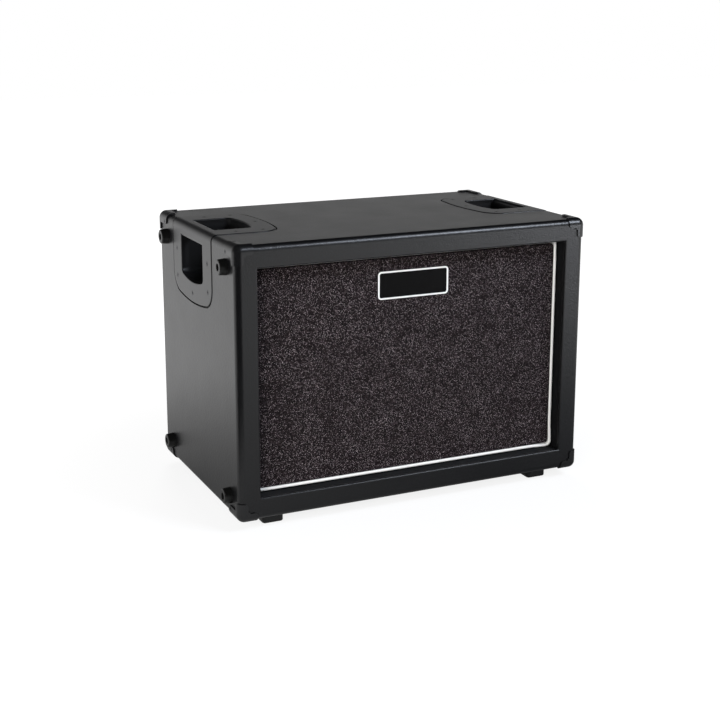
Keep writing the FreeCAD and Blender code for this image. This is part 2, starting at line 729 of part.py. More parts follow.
def badge():
    """A blank plate on two posts, and the raised rim round its edge."""
    face = CLOTH_Y - BADGE_T
    plate = slab(BADGE_W / 2, BADGE_H / 2, BADGE_CORNER_R, face, CLOTH_Y, BADGE_Z)
    plate = plate.fuse(badge_posts(BADGE_POST_R)).removeSplitter()
    rim = slab(BADGE_W / 2, BADGE_H / 2, BADGE_CORNER_R, face - BADGE_RIM_T, face, BADGE_Z)
    field = slab(BADGE_W / 2 - BADGE_RIM_W, BADGE_H / 2 - BADGE_RIM_W, BADGE_CORNER_R - BADGE_RIM_W,
                 face - BADGE_RIM_T - PAST, face + PAST, BADGE_Z)
    return plate, rim.cut(field)


# Driver: profiles are radius and depth behind the flange's front face

AXIS_POINT = FreeCAD.Vector(0, 0, MID_Z)
AXIS = FreeCAD.Vector(0, 1, 0)


def at(radius, depth):
    return vec(radius, FLANGE_Y + depth, MID_Z)


def spun(*profile):
    points = [at(r, d) for r, d in profile]
    face = Part.Face(Part.makePolygon(points + points[:1]))
    return face.revolve(AXIS_POINT, AXIS, 360)


def ring(inner, outer, d0, d1):
    return spun((inner, d0), (outer, d0), (outer, d1), (inner, d1))


def spun_sheet(edges, thickness):
    """A thin turned sheet: a chain of edges, and the same chain moved back."""
    behind = [edge.copy() for edge in edges]
    for edge in behind:
        edge.translate(vec(0, thickness, 0))
    ends = [edges[0].Vertexes[0].Point, edges[-1].Vertexes[-1].Point]
    sides = [Part.LineSegment(p, p + vec(0, thickness, 0)).toShape() for p in ends]
    wire = Part.Wire(Part.__sortEdges__(edges + behind + sides))
    return Part.Face(wire).revolve(AXIS_POINT, AXIS, 360)


def waves(start, end, count, height):
    """Arcs that rise and fall in turn along a straight line."""
    edges = []
    for n in range(count):
        p = [start[i] + (end[i] - start[i]) * n / count for i in (0, 1)]
        q = [start[i] + (end[i] - start[i]) * (n + 1) / count for i in (0, 1)]
        side = height if n % 2 else -height
        middle = at((p[0] + q[0]) / 2, (p[1] + q[1]) / 2 + side)
        edges.append(Part.Arc(at(*p), middle, at(*q)).toShape())
    return edges


def line(start, end):
    return Part.LineSegment(at(*start), at(*end)).toShape()


def cone_depth(radius):
    """Depth of the cone's front face at a radius."""
    share = (CONE_R - radius) / (CONE_R - FORMER_R)
    return CONE_EDGE_D + (CONE_NECK_D - CONE_EDGE_D) * share


def around(count, first_deg=0.0):
    return [math.radians(first_deg + 360.0 * n / count) for n in range(count)]


def speaker_basket():
    """A pressed frame: flange, rim, windowed cone, spider shelf and cup."""
    t = BASKET_T
    body = spun(
        (FLANGE_R, 0), (FLANGE_IN_R, 0), (FLANGE_IN_R, BASKET_RIM_D), (BASKET_SHELF_R, BASKET_SHELF_D),
        (BASKET_CUP_R, BASKET_SHELF_D), (BASKET_CUP_R, BASKET_D - t), (BASKET_BORE_R, BASKET_D - t),
        (BASKET_BORE_R, BASKET_D), (BASKET_CUP_R + t, BASKET_D), (BASKET_CUP_R + t, BASKET_SHELF_D + t),
        (BASKET_SHELF_R + t, BASKET_SHELF_D + t), (FLANGE_IN_R + t, BASKET_RIM_D + t),
        (FLANGE_IN_R + t, t), (FLANGE_R, t),
    )
    near = FLANGE_Y + BASKET_RIM_D + BASKET_WINDOW_MARGIN
    far = FLANGE_Y + BASKET_SHELF_D - BASKET_WINDOW_MARGIN
    half = math.radians(BASKET_WINDOW_DEG / 2)
    windows = []
    for angle in around(BASKET_WINDOWS, 360.0 / BASKET_WINDOWS / 2):
        turned = ((BASKET_SHELF_R, angle - half), (FLANGE_R, angle - half),
                  (FLANGE_R, angle + half), (BASKET_SHELF_R, angle + half))
        corners = [vec(r * math.cos(a), near, MID_Z + r * math.sin(a)) for r, a in turned]
        wedge = Part.Face(Part.makePolygon(corners + corners[:1]))
        windows.append(wedge.extrude(vec(0, far - near, 0)))
    holes = [rod(p, AXIS, BOLT_R + SCREW_FIT, GASKET_T + BASKET_T + PAST) for p in bolt_places(BAFFLE_BACK_Y)]
    return body.cut(windows + holes)


def bolt_places(y):
    return [
        vec(BOLT_CIRCLE_R * math.cos(a), y, MID_Z + BOLT_CIRCLE_R * math.sin(a))
        for a in around(BOLT_COUNT, 180.0 / BOLT_COUNT)
    ]


def speaker_bolts():
    length = BASKET_T + GASKET_T + BAFFLE_T - BOLT_SHORT_OF_FACE
    bolts = []
    for seat in bolt_places(FLANGE_Y + BASKET_T):
        head = rod(seat, AXIS, BOLT_HEAD_R, BOLT_HEAD_T)
        bolts.append(head.fuse(rod(seat, -AXIS, BOLT_R, length)).removeSplitter())
    return bolts


def speaker_t_nuts():
    nuts = []
    for seat in bolt_places(BAFFLE_Y):
        nut = rod(seat, -AXIS, T_NUT_R, T_NUT_T).fuse(rod(seat, AXIS, T_NUT_BARREL_R, T_NUT_BARREL_L))
        start = seat - AXIS * (T_NUT_T + PAST)
        bore = rod(start, AXIS, BOLT_R + SCREW_FIT, T_NUT_BARREL_L + T_NUT_T + 2 * PAST)
        nuts.append(nut.cut(bore).removeSplitter())
    return nuts


def speaker_surround():
    """A pleated edge from its land on the flange down to the cone."""
    lip = -SURROUND_T
    top = (FLANGE_IN_R - SOFT_GAP, lip)
    foot = (CONE_R, CONE_EDGE_D - SOFT_GAP - SURROUND_T)
    edges = [line((GASKET_IN_R - SURROUND_LAND, lip), top)]
    edges += waves(top, foot, SURROUND_PLEATS, SURROUND_PLEAT_H)
    edges.append(line(foot, (CONE_R - SURROUND_LAND, foot[1])))
    return spun_sheet(edges, SURROUND_T)


def speaker_cone():
    neck = FORMER_R + GLUE_GAP
    return spun((CONE_R, CONE_EDGE_D), (neck, cone_depth(neck)),
                (neck, cone_depth(neck) + CONE_T), (CONE_R, CONE_EDGE_D + CONE_T))


def dust_cap():
    rim = cone_depth(DUST_CAP_R) - DUST_CAP_T - GLUE_GAP
    apex = rim - DUST_CAP_H
    dome_r = (DUST_CAP_R ** 2 + DUST_CAP_H ** 2) / (2 * DUST_CAP_H)
    part_way = DUST_CAP_R / 2
    rise = apex + dome_r - math.sqrt(dome_r ** 2 - part_way ** 2)
    arc = Part.Arc(at(0, apex), at(part_way, rise), at(DUST_CAP_R, rim)).toShape()
    return spun_sheet([arc], DUST_CAP_T)


def voice_coil():
    """The former, with its winding standing in the magnet's gap."""
    inner = POLE_R + COIL_GAP
    middle = BASKET_D + TOP_PLATE_T / 2
    start, end = middle - WINDING_L / 2, middle + WINDING_L / 2
    wound = FORMER_R + WINDING_T
    return spun((inner, CONE_NECK_D - FORMER_ABOVE_NECK), (FORMER_R, CONE_NECK_D - FORMER_ABOVE_NECK),
                (FORMER_R, start), (wound, start), (wound, end), (inner, end))


def spider():
    lip = BASKET_SHELF_D - SPIDER_T
    land = (BASKET_CUP_R - SOFT_GAP, lip)
    neck = (FORMER_R + SOFT_GAP, lip - SPIDER_RISE)
    edges = [line((BASKET_SHELF_R - SOFT_GAP, lip), land)]
    edges += waves(land, neck, SPIDER_WAVES, SPIDER_WAVE_H)
    return spun_sheet(edges, SPIDER_T)


def magnet_system():
    plate = BASKET_D + TOP_PLATE_T
    seat = plate + MAGNET_T
    yoke = spun((VENT_R, BASKET_D), (POLE_R, BASKET_D), (POLE_R, seat), (YOKE_R, seat),
                (YOKE_R, seat + YOKE_T), (VENT_R, seat + YOKE_T))
    return {
        "top_plate": ring(GAP_BORE_R, TOP_PLATE_R, BASKET_D, plate),
        "magnet_ring": ring(MAGNET_IN_R, MAGNET_R, plate, seat),
        "pole_yoke": yoke,
    }


TERMINAL_R = BASKET_CUP_R + BASKET_T
TERMINAL_FRONT_D = BASKET_SHELF_D + BASKET_T + TERMINAL_GAP


def speaker_terminals():
    """A terminal block under the basket's cup, with two push-on tags."""
    y0 = FLANGE_Y + TERMINAL_FRONT_D
    low = MID_Z - TERMINAL_R - TERMINAL_H
    block = box(-TERMINAL_W / 2, y0, low, TERMINAL_W / 2, y0 + TERMINAL_D, MID_Z - TERMINAL_R + TERMINAL_H)
    cup = rod(vec(0, y0 - PAST, MID_Z), AXIS, TERMINAL_R + GLUE_GAP, TERMINAL_D + 2 * PAST)
    block = block.cut(cup)
    upper = box(-TERMINAL_W, y0 - PAST, MID_Z - TERMINAL_R + TERMINAL_H / 2,
                TERMINAL_W, y0 + TERMINAL_D + PAST, MID_Z)
    block = block.cut(upper)
    for x, y in terminal_tags():
        tag = box(x - TAG_W / 2, y - TAG_T / 2, low - TAG_L, x + TAG_W / 2, y + TAG_T / 2, low + PAST)
        block = block.fuse(tag)
    return block.removeSplitter()


def terminal_tags():
    y = FLANGE_Y + TERMINAL_FRONT_D + TERMINAL_D / 2
    return [(s * TERMINAL_PITCH / 2, y) for s in (-1, 1)]


def tube(points, radius):
    """A round wire along straight runs joined by the largest tangent arcs that fit."""
    edges = []
    last = points[0]
    for before, corner, after in zip(points, points[1:], points[2:]):
        back, ahead = before - corner, after - corner
        trim = ARC_SHARE * min(back.Length, ahead.Length)
        back.normalize()
        ahead.normalize()
        start, end = corner + back * trim, corner + ahead * trim
        half_turn = (math.pi - back.getAngle(ahead)) / 2
        bend = trim / math.tan(half_turn)
        inward = (back + ahead).normalize()
        middle = corner + inward * (bend / math.cos(half_turn) - bend)
        edges += [Part.LineSegment(last, start).toShape(), Part.Arc(start, middle, end).toShape()]
        last = end
    edges.append(Part.LineSegment(last, points[-1]).toShape())
    path = Part.Wire(edges)
    section = Part.Wire(Part.makeCircle(radius, points[0], points[1] - points[0]))
    return path.makePipeShell([section], True, False)


def tinsel_leads():
    """Flexible leads from the terminals, through a basket window, to the cone."""
    def below(x, radius, depth):
        return vec(x, FLANGE_Y + depth, MID_Z - radius)
    start = TERMINAL_R + TERMINAL_H
    start_d = TERMINAL_FRONT_D + TERMINAL_D / 4
    landing = (CONE_R + DUST_CAP_R) / 2
    touch = cone_depth(landing) + CONE_T + SOFT_GAP + TINSEL_R
    doorway = BASKET_SHELF_D - 3 * BASKET_WINDOW_MARGIN
    return [
        tube([below(x, start, start_d), below(x, start + TINSEL_OUT, start_d),
              below(x, start + 2 * TINSEL_OUT, doorway), below(x, landing, touch)], TINSEL_R)
        for x, _ in terminal_tags()
    ]


# Jack dish and sockets

JACK_PLACES = {"input_jack": -JACK_PITCH / 2, "link_jack": JACK_PITCH / 2}


def dish_well(grow, y0, y1):
    return slab(DISH_WELL_W / 2 + grow, DISH_WELL_H / 2 + grow, DISH_CORNER_R + grow, y0, y1, DISH_Z)


def dish_screw_places():
    half_x, half_z = DISH_W / 2 - DISH_SCREW_INSET, DISH_H / 2 - DISH_SCREW_INSET
    return [
        vec(sx * half_x, BACK_FACE_Y + DISH_T, DISH_Z + sz * half_z)
        for sx in (-1, 1) for sz in (-1, 1)
    ]


def jack_dish():
    """A pressed steel dish: a flange on the panel and a well for the plugs."""
    face = BACK_FACE_Y + DISH_T
    flange = slab(DISH_W / 2, DISH_H / 2, DISH_CORNER_R, BACK_FACE_Y, face, DISH_Z)
    dish = flange.fuse(dish_well(DISH_T, JACK_FACE_Y, face)).cut(dish_well(0, DISH_FLOOR_Y, face + PAST))
    holes = [
        rod(vec(x, JACK_FACE_Y - PAST, DISH_Z), AXIS, JACK_NECK_R + JACK_NECK_FIT, DISH_T + 2 * PAST)
        for x in JACK_PLACES.values()
    ]
    holes += [
        rod(p - AXIS * (DISH_T + PAST), AXIS, DISH_SCREW_R + SCREW_FIT, DISH_T + 2 * PAST)
        for p in dish_screw_places()
    ]
    return dish.removeSplitter().cut(holes)


def dish_screws():
    """Screws with low domed heads."""
    screws = []
    for seat in dish_screw_places():
        face = seat + AXIS * DISH_SCREW_HEAD_T
        head = rod(seat, AXIS, DISH_SCREW_HEAD_R, DISH_SCREW_HEAD_T)
        rim = [e for e in head.Edges if e.BoundBox.YMin > seat.y + SCREW_FIT]
        head = head.makeFillet(DISH_SCREW_DOME, rim)
        blank = head.fuse(rod(seat, -AXIS, DISH_SCREW_R, DISH_SCREW_L)).removeSplitter()
        screws.append(blank.cut(cross_recess(face, -AXIS, DISH_SCREW_HEAD_R)))
    return screws


def jack(x):
    """A quarter-inch socket: body behind the dish, threaded neck through it."""
    body = slab(JACK_BODY_W / 2, JACK_BODY_H / 2, JACK_BODY_CORNER_R, JACK_FACE_Y - JACK_BODY_L,
                JACK_FACE_Y, DISH_Z, x)
    mouth = DISH_FLOOR_Y + JACK_NECK_L
    neck = rod(vec(x, JACK_FACE_Y - PAST, DISH_Z), AXIS, JACK_NECK_R, mouth - JACK_FACE_Y + PAST)
    y = JACK_FACE_Y - JACK_BODY_L
    blind = y + JACK_END_WALL
    bore = rod(vec(x, blind, DISH_Z), AXIS, JACK_BORE_R, mouth - blind + PAST)
    socket = body.fuse(neck).cut(bore)
    tag = box(x - TAG_W / 2, y - JACK_TAG_L, DISH_Z - TAG_T / 2, x + TAG_W / 2, y + PAST, DISH_Z + TAG_T / 2)
    return socket.fuse(tag).removeSplitter()


def jack_nut(x):
    corner_r = JACK_NUT_AF / math.sqrt(3)
    points = [
        vec(x + corner_r * math.cos(a), DISH_FLOOR_Y, DISH_Z + corner_r * math.sin(a)) for a in around(6)
    ]
    nut = Part.Face(Part.makePolygon(points + points[:1])).extrude(vec(0, JACK_NUT_T, 0))
    hole = rod(vec(x, DISH_FLOOR_Y - PAST, DISH_Z), AXIS, JACK_NECK_R + SCREW_FIT, JACK_NUT_T + 2 * PAST)
    return nut.cut(hole)


def speaker_leads():
    """Two insulated leads that hang from the driver's tags to the jacks' tags."""
    jack_y = JACK_FACE_Y - JACK_BODY_L - JACK_TAG_L
    tag_z = MID_Z - TERMINAL_R - TERMINAL_H - TAG_L
    leads = []
    for (x, y), jack_x in zip(terminal_tags(), JACK_PLACES.values()):
        low = min(tag_z, DISH_Z) - LEAD_DROP
        span = jack_y - y
        route = [
            vec(x, y, tag_z), vec(x, y, tag_z - LEAD_STRAIGHT),
            vec((3 * x + jack_x) / 4, y + span / 4, low),
            vec((x + 3 * jack_x) / 4, y + span * 5 / 8, low + LEAD_DROP / 6),
            vec(jack_x, jack_y - LEAD_STRAIGHT, DISH_Z), vec(jack_x, jack_y, DISH_Z),
        ]
        leads.append(tube(route, LEAD_R))
    return leads


# Back panel

BACK_SCREW_LINE_X = INNER_X - CLEAT / 2
BACK_HALF_X = INNER_X - VINYL_T - BACK_GAP
BACK_HALF_Z = (INNER_HIGH - INNER_LOW) / 2 - VINYL_T - BACK_GAP


def back_screw_places():
    spots = [
        (x, z) for x in (-BACK_SCREW_LINE_X, -BACK_SCREW_X, BACK_SCREW_X, BACK_SCREW_LINE_X)
        for z in (INNER_LOW + CLEAT / 2, INNER_HIGH - CLEAT / 2)
    ]
    spots += [(-BACK_SCREW_LINE_X, MID_Z), (BACK_SCREW_LINE_X, MID_Z)]
    return [vec(x, BACK_FACE_Y + CUP_T, z) for x, z in spots]


BACK_SCREW = (BACK_SCREW_R, BACK_SCREW_HEAD_R, BACK_SCREW_L)


def cup_washers():
    washers = []
    for head in back_screw_places():
        cup = Part.makeCone(CUP_R, CUP_TOP_R, CUP_T, head - AXIS * CUP_T, AXIS)
        washers.append(cup.cut(sunk_hole(head, -AXIS, *BACK_SCREW)))
    return washers


def back_panel_board():
    return box(-BACK_HALF_X, BACK_INNER_Y, MID_Z - BACK_HALF_Z, BACK_HALF_X, BACK_FACE_Y, MID_Z + BACK_HALF_Z)


def back_seal():
    """A foam strip between the cleats and the panel."""
    x0, z0 = BACK_HALF_X, BACK_HALF_Z
    x1, z1 = BACK_HALF_X - SEAL_W, BACK_HALF_Z - SEAL_W
    strip = box(-x0, CLEAT_BACK_Y, MID_Z - z0, x0, BACK_INNER_Y, MID_Z + z0)
    return strip.cut(box(-x1, CLEAT_BACK_Y - PAST, MID_Z - z1, x1, BACK_INNER_Y + PAST, MID_Z + z1))


# Baffle

def baffle_screw_places():
    rail_x = (OPEN_X + VINYL_T + INNER_X) / 2
    rail_low = (INNER_LOW + OPEN_LOW - VINYL_T) / 2
    rail_high = (OPEN_HIGH + VINYL_T + INNER_HIGH) / 2
    spots = [(x, z) for x in (-BAFFLE_SCREW_X, 0, BAFFLE_SCREW_X) for z in (rail_low, rail_high)]
    spots += [(sx * rail_x, MID_Z + sz * BAFFLE_SCREW_Z) for sx in (-1, 1) for sz in (-1, 1)]
    return [vec(x, BAFFLE_BACK_Y, z) for x, z in spots]


BAFFLE_SCREW = (BAFFLE_SCREW_R, BAFFLE_SCREW_HEAD_R, BAFFLE_SCREW_L)


def baffle_board():
    board = box(-INNER_X + BOARD_FIT, BAFFLE_Y, INNER_LOW + BOARD_FIT,
                INNER_X - BOARD_FIT, BAFFLE_BACK_Y, INNER_HIGH - BOARD_FIT)
    holes = [rod(vec(0, BAFFLE_Y - PAST, MID_Z), AXIS, CUTOUT_R, BAFFLE_T + 2 * PAST)]
    holes += [
        rod(p, AXIS, T_NUT_BARREL_R + SCREW_FIT, BAFFLE_T + 2 * PAST) for p in bolt_places(BAFFLE_Y - PAST)
    ]
    holes += [sunk_hole(head, -AXIS, *BAFFLE_SCREW) for head in baffle_screw_places()]
    return board.cut(holes)


def build():
    """Every node by name, in the cabinet's own frame."""
    parts = {}
    outside, core = cabinet_block(0), cabinet_block(VINYL_T)
    seats = [handle_seat()]
    seats.append(mirrored(seats[0]))
    bottom_feet, side_feet, foot_places = all_feet()
    handle_places = handle_screw_places()
    corner_places = [place for sides in CORNERS for place in corner_screw_places(sides)]

    handle_holes = [sunk_hole(head, along, *HANDLE_SCREW) for head, along in handle_places]
    handle_holes += [mirrored(hole) for hole in handle_holes]
    corner_holes = [sunk_hole(head, along, *CORNER_SCREW) for head, along in corner_places]
    foot_holes = [
        rod(seat, along, FOOT_SCREW_R + SCREW_FIT, FOOT_SCREW_L + SCREW_FIT) for seat, along in foot_places
    ]
    shell_holes = handle_holes + corner_holes + foot_holes

    blanks = board_blanks(core)
    for name, board in blanks.items():
        parts[name] = board.cut(seats + shell_holes)
    parts["vinyl_covering"] = outside.cut([core] + seats + shell_holes)

    baffle_holes = [sunk_hole(head, -AXIS, *BAFFLE_SCREW) for head in baffle_screw_places()]
    for name, rail in front_rails(core).items():
        parts[name] = rail.cut(baffle_holes)
    parts["baffle_board"] = baffle_board()
    parts["baffle_screws"] = Part.makeCompound(
        [sunk_screw(head, -AXIS, *BAFFLE_SCREW) for head in baffle_screw_places()])

    back_holes = [sunk_hole(head, -AXIS, *BACK_SCREW) for head in back_screw_places()]
    for name, cleat in rear_cleats().items():
        parts[name] = cleat.cut(back_holes)
    parts["back_seal"] = back_seal().cut(back_holes)
    dish_holes = [
        rod(p, -AXIS, DISH_SCREW_R + SCREW_FIT, DISH_SCREW_L + SCREW_FIT) for p in dish_screw_places()
    ]
    well = dish_well(DISH_T + DISH_FIT, BACK_INNER_Y - PAST, BACK_FACE_Y + PAST)
    parts["back_panel"] = back_panel_board().cut(back_holes + dish_holes + [well])
    parts["back_panel_screws"] = Part.makeCompound(
        [sunk_screw(head, -AXIS, *BACK_SCREW) for head in back_screw_places()])
    parts["back_panel_cup_washers"] = Part.makeCompound(cup_washers())

    parts["grille_frame"] = grille_frame()
    parts["grille_cloth"] = grille_cloth()
    parts["grille_piping"] = grille_piping()
    parts["grille_hook_pads"] = Part.makeCompound(hook_pads())
    parts["badge_plate"], parts["badge_rim"] = badge()

    parts["left_handle"] = left_handle()
    parts["right_handle"] = mirrored(parts["left_handle"])
    screws = [sunk_screw(head, along, *HANDLE_SCREW) for head, along in handle_places]
    parts["handle_screws"] = Part.makeCompound(screws + [mirrored(screw) for screw in screws])

    grown = rounded_box(LEFT - CORNER_T, FRONT - CORNER_T, BOTTOM - CORNER_T,
                        RIGHT + CORNER_T, BACK + CORNER_T, TOP + CORNER_T, EDGE_R + CORNER_T)
    shell = grown.cut(rounded_box(LEFT, FRONT, BOTTOM, RIGHT, BACK, TOP, EDGE_R))
    for sides in CORNERS:
        parts[corner_name(sides)] = corner_protector(shell, sides).cut(corner_holes)
    parts["corner_screws"] = Part.makeCompound(
        [sunk_screw(head, along, *CORNER_SCREW) for head, along in corner_places])

    parts["bottom_feet"] = Part.makeCompound(bottom_feet)
    parts["side_feet"] = Part.makeCompound(side_feet)
    parts["foot_screws"] = Part.makeCompound([foot_screw(seat, along) for seat, along in foot_places])

    parts["speaker_basket"] = speaker_basket()
    gasket_holes = [
        rod(p, AXIS, BOLT_R + SCREW_FIT, GASKET_T + 2 * PAST) for p in bolt_places(BAFFLE_BACK_Y - PAST)
    ]
    parts["speaker_gasket"] = ring(GASKET_IN_R, FLANGE_R, -GASKET_T, 0).cut(gasket_holes)
    parts["speaker_surround"] = speaker_surround()
    parts["speaker_cone"] = speaker_cone()
    parts["dust_cap"] = dust_cap()
    parts["voice_coil"] = voice_coil()
    parts["spider"] = spider()
    parts.update(magnet_system())
    parts["speaker_terminals"] = speaker_terminals()
    parts["tinsel_leads"] = Part.makeCompound(tinsel_leads())
    parts["speaker_bolts"] = Part.makeCompound(speaker_bolts())
    parts["speaker_t_nuts"] = Part.makeCompound(speaker_t_nuts())

    parts["jack_dish"] = jack_dish()
    parts["jack_dish_screws"] = Part.makeCompound(dish_screws())
    for name, x in JACK_PLACES.items():
        parts[name] = jack(x)
    parts["jack_nuts"] = Part.makeCompound([jack_nut(x) for x in JACK_PLACES.values()])
    parts["speaker_leads"] = Part.makeCompound(speaker_leads())
    return parts


def main():
    os.makedirs("parts", exist_ok=True)
    parts = build()
    for name, shape in parts.items():
        solids = shape.Solids
        print(name, len(solids), "solids", round(sum(s.Volume for s in solids)), "mm3", shape.isValid())
        save(name, shape)
    print(len(parts), "nodes")


main()
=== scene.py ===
import math

import bpy
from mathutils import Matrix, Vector


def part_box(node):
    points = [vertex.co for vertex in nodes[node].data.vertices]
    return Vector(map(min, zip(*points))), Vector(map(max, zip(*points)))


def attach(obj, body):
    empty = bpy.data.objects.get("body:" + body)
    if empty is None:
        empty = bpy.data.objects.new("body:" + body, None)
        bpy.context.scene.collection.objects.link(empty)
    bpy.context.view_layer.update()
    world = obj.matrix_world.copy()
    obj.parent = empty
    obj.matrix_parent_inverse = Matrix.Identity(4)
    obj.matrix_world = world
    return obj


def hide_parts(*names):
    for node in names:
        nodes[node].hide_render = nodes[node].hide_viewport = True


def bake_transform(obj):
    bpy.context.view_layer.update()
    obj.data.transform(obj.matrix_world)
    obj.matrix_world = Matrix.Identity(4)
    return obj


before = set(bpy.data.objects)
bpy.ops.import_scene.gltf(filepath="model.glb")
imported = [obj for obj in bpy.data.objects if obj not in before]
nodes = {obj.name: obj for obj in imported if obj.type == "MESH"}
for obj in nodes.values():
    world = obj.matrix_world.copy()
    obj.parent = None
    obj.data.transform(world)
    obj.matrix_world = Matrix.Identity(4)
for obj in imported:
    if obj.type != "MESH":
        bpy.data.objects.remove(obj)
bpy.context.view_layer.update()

# A closed-back guitar speaker cabinet in black vinyl, on a white studio floor.
# Lengths are metres, and mm() turns the sizes that are written in millimetres.

# Camera at the photograph's viewing angle: metres, degrees, millimetres of lens, shares of the frame
CAMERA_PLACE = (-0.8347, -1.7584, 0.7061)
CAMERA_YAW = 24.86
CAMERA_PITCH = 12.85
CAMERA_LENS = 66.32
CAMERA_SHIFT = (0.0099, -0.08)
CAMERA_REACH = 50.0

# Studio floor. It glows a little less near the cabinet, where lamplight makes it white and shade shows.
FLOOR_HALF = 8.0
FLOOR_PAINT = "777777"
FLOOR_NEAR_R, FLOOR_FAR_R, FLOOR_NEAR = 0.3, 1.0, 0.84
# The floor as gloss mirrors it: its level, and pools of painted shade near the cabinet, each with
# its middle, dark radius, bright radius and level at the middle
FLOOR_MIRRORED = 1.02
FLOOR_SHADE_POOLS = (((-0.25, 0.05, 0.0), 0.0, 0.7, 0.2), ((0.4, -0.35, 0.0), 0.2, 0.9, 0.04))
# Studio walls as gloss mirrors them: white up to one height of view, dark from another
WALL_WHITE_TO, WALL_DARK_FROM = 0.05, 0.305
# Light from all round on dull surfaces
FILL = 0.2
# A folded black card: its corners on the floor, and its height
FLAG = ((-0.54, -0.14), (-0.54, -0.35), (-0.42, -0.52), (-0.19, -0.6))
FLAG_HIGH = 0.5
# Lamps: place, aim, size, watts, tint
KEY = ((1.25, -1.5, 2.0), (0.0, -0.15, 0.3), (1.1, 0.6), 45.0, "e9f1ff")
SIDE = ((-1.3, 1.3, 1.1), (-0.1, 0.0, 0.35), (1.2, 0.7), 0.8, "ffffff")
LOW = ((1.6, -2.0, 0.2), (0.2, -0.15, 0.35), (0.5, 0.3), 5.0, "f2f6ff")
FRONT = ((-1.5, -1.6, 0.8), (0.1, -0.15, 0.2), (0.8, 0.8), 29.0, "ffffff")
ACROSS = ((-1.7, -0.75, 0.4), (0.24, -0.15, 0.25), (0.6, 0.6), 15.0, "ffffff")
REAR = ((0.4, 2.2, 1.4), (0.0, 0.17, 0.2), (1.0, 1.0), 30.0, "ffffff")

# Where a finish changes, in millimetres. The vinyl turns dull in the grille's recess: from and to
# these depths behind the front, and this far round the piping.
RECESS_FROM, RECESS_TO, RECESS_ROUND = 1.0, 8.0, 3.0
# The boards are blacked where a handle is let in: black down to the first depth, bare from the second.
LET_IN_BLACK, LET_IN_BARE = 3.2, 3.6
# A handle's satin skin turns dull, and darkens with painted shade, down in its pocket, between these
# depths.
POCKET_SHADE_FROM, POCKET_SHADE_TO = 0.5, 14.0

# Grille cloth and the white piping round it, in millimetres
CLOTH_CORNER_R = 5.0
CLOTH_CELL = 7.0
CLOTH_ROLL_R, ROLL_STEPS = 1.2, 4
CORNER_STEPS = 4
BEAD_R, BEAD_STEPS, BEAD_CORNER_R = 2.1, 16, 5.0
WELT_T = 0.8
BEAD_TOP_UP, BEAD_TOP_BACK = 1.6, 0.8
BEAD_FLARE, BEAD_FLARE_L = 1.4, 34.0
SAME_PLACE = 0.01
# A fold sharper than this many degrees shows as an edge.
SHARP_FOLD = 40.0

# The driver's rings that flex: finish, and how far from the axis a ring leaves the basket and
# meets the cone, in millimetres
FLEXING_RINGS = {
    "speaker_surround": ("surround_paper", 132.0, 121.0),
    "spider": ("spider_cloth", 53.7, 27.5),
}


def mm(length):
    return length / 1000.0


def per_mm(size):
    """Texture scale that repeats a pattern once in a size given in millimetres."""
    return 1000.0 / size


def eased(share):
    """A share from 0 to 1 that starts and ends gently."""
    return share * share * (3 - 2 * share)


def srgb(code):
    """An sRGB hex colour as linear RGBA."""
    channels = [int(code[i:i + 2], 16) / 255.0 for i in (0, 2, 4)]
    linear = [c / 12.92 if c <= 0.04045 else ((c + 0.055) / 1.055) ** 2.4 for c in channels]
    return (*linear, 1.0)


def add(tree, kind, sockets=None, **settings):
    """Add a shader node: settings are its own options, sockets its constants and links."""
    made = tree.nodes.new("ShaderNode" + kind)
    for name, value in settings.items():
        setattr(made, name, value)
    for name, value in (sockets or {}).items():
        if isinstance(value, bpy.types.NodeSocket):
            tree.links.new(value, made.inputs[name])
        else:
            made.inputs[name].default_value = value
    return made


def new_material(name):
    material = bpy.data.materials.new(name)
    material.use_nodes = True
    material.node_tree.nodes.clear()
    return material, material.node_tree


def new_piece(name, points, faces, material):
    mesh = bpy.data.meshes.new(name)
    mesh.from_pydata(points, [], faces)
    mesh.materials.append(material)
    mesh.update()
    mesh.set_sharp_from_angle(angle=math.radians(SHARP_FOLD))
    piece = bpy.data.objects.new(name, mesh)
    bpy.context.scene.collection.objects.link(piece)
    return piece


# Finishes

def grained(name, tints, grain_mm, gloss, relief_mm, stretch=(1, 1, 1), **sockets):
    """A finish whose tint, roughness and height all follow one grain of a real size."""
    material, tree = new_material(name)
    place = add(tree, "TexCoord").outputs["Object"]
    drawn = add(tree, "Mapping", {"Vector": place, "Scale": stretch}).outputs["Vector"]
    grain = add(tree, "TexNoise", {"Vector": drawn, "Scale": per_mm(grain_mm), "Detail": 3.0})
    height = grain.outputs["Fac"]
    tint = add(tree, "Mix", {"Factor": height, 6: srgb(tints[0]), 7: srgb(tints[1])}, data_type="RGBA")
    rough = add(tree, "MapRange", {"Value": height, "To Min": gloss[0], "To Max": gloss[1]})
    bump = add(tree, "Bump", {"Height": height, "Distance": mm(relief_mm), "Strength": 0.6})
    surface = {"Base Color": tint.outputs[2], "Roughness": rough.outputs["Result"],
               "Normal": bump.outputs["Normal"]}
    shader = add(tree, "BsdfPrincipled", {**surface, **sockets})
    add(tree, "OutputMaterial", {"Surface": shader.outputs["BSDF"]})
    return material


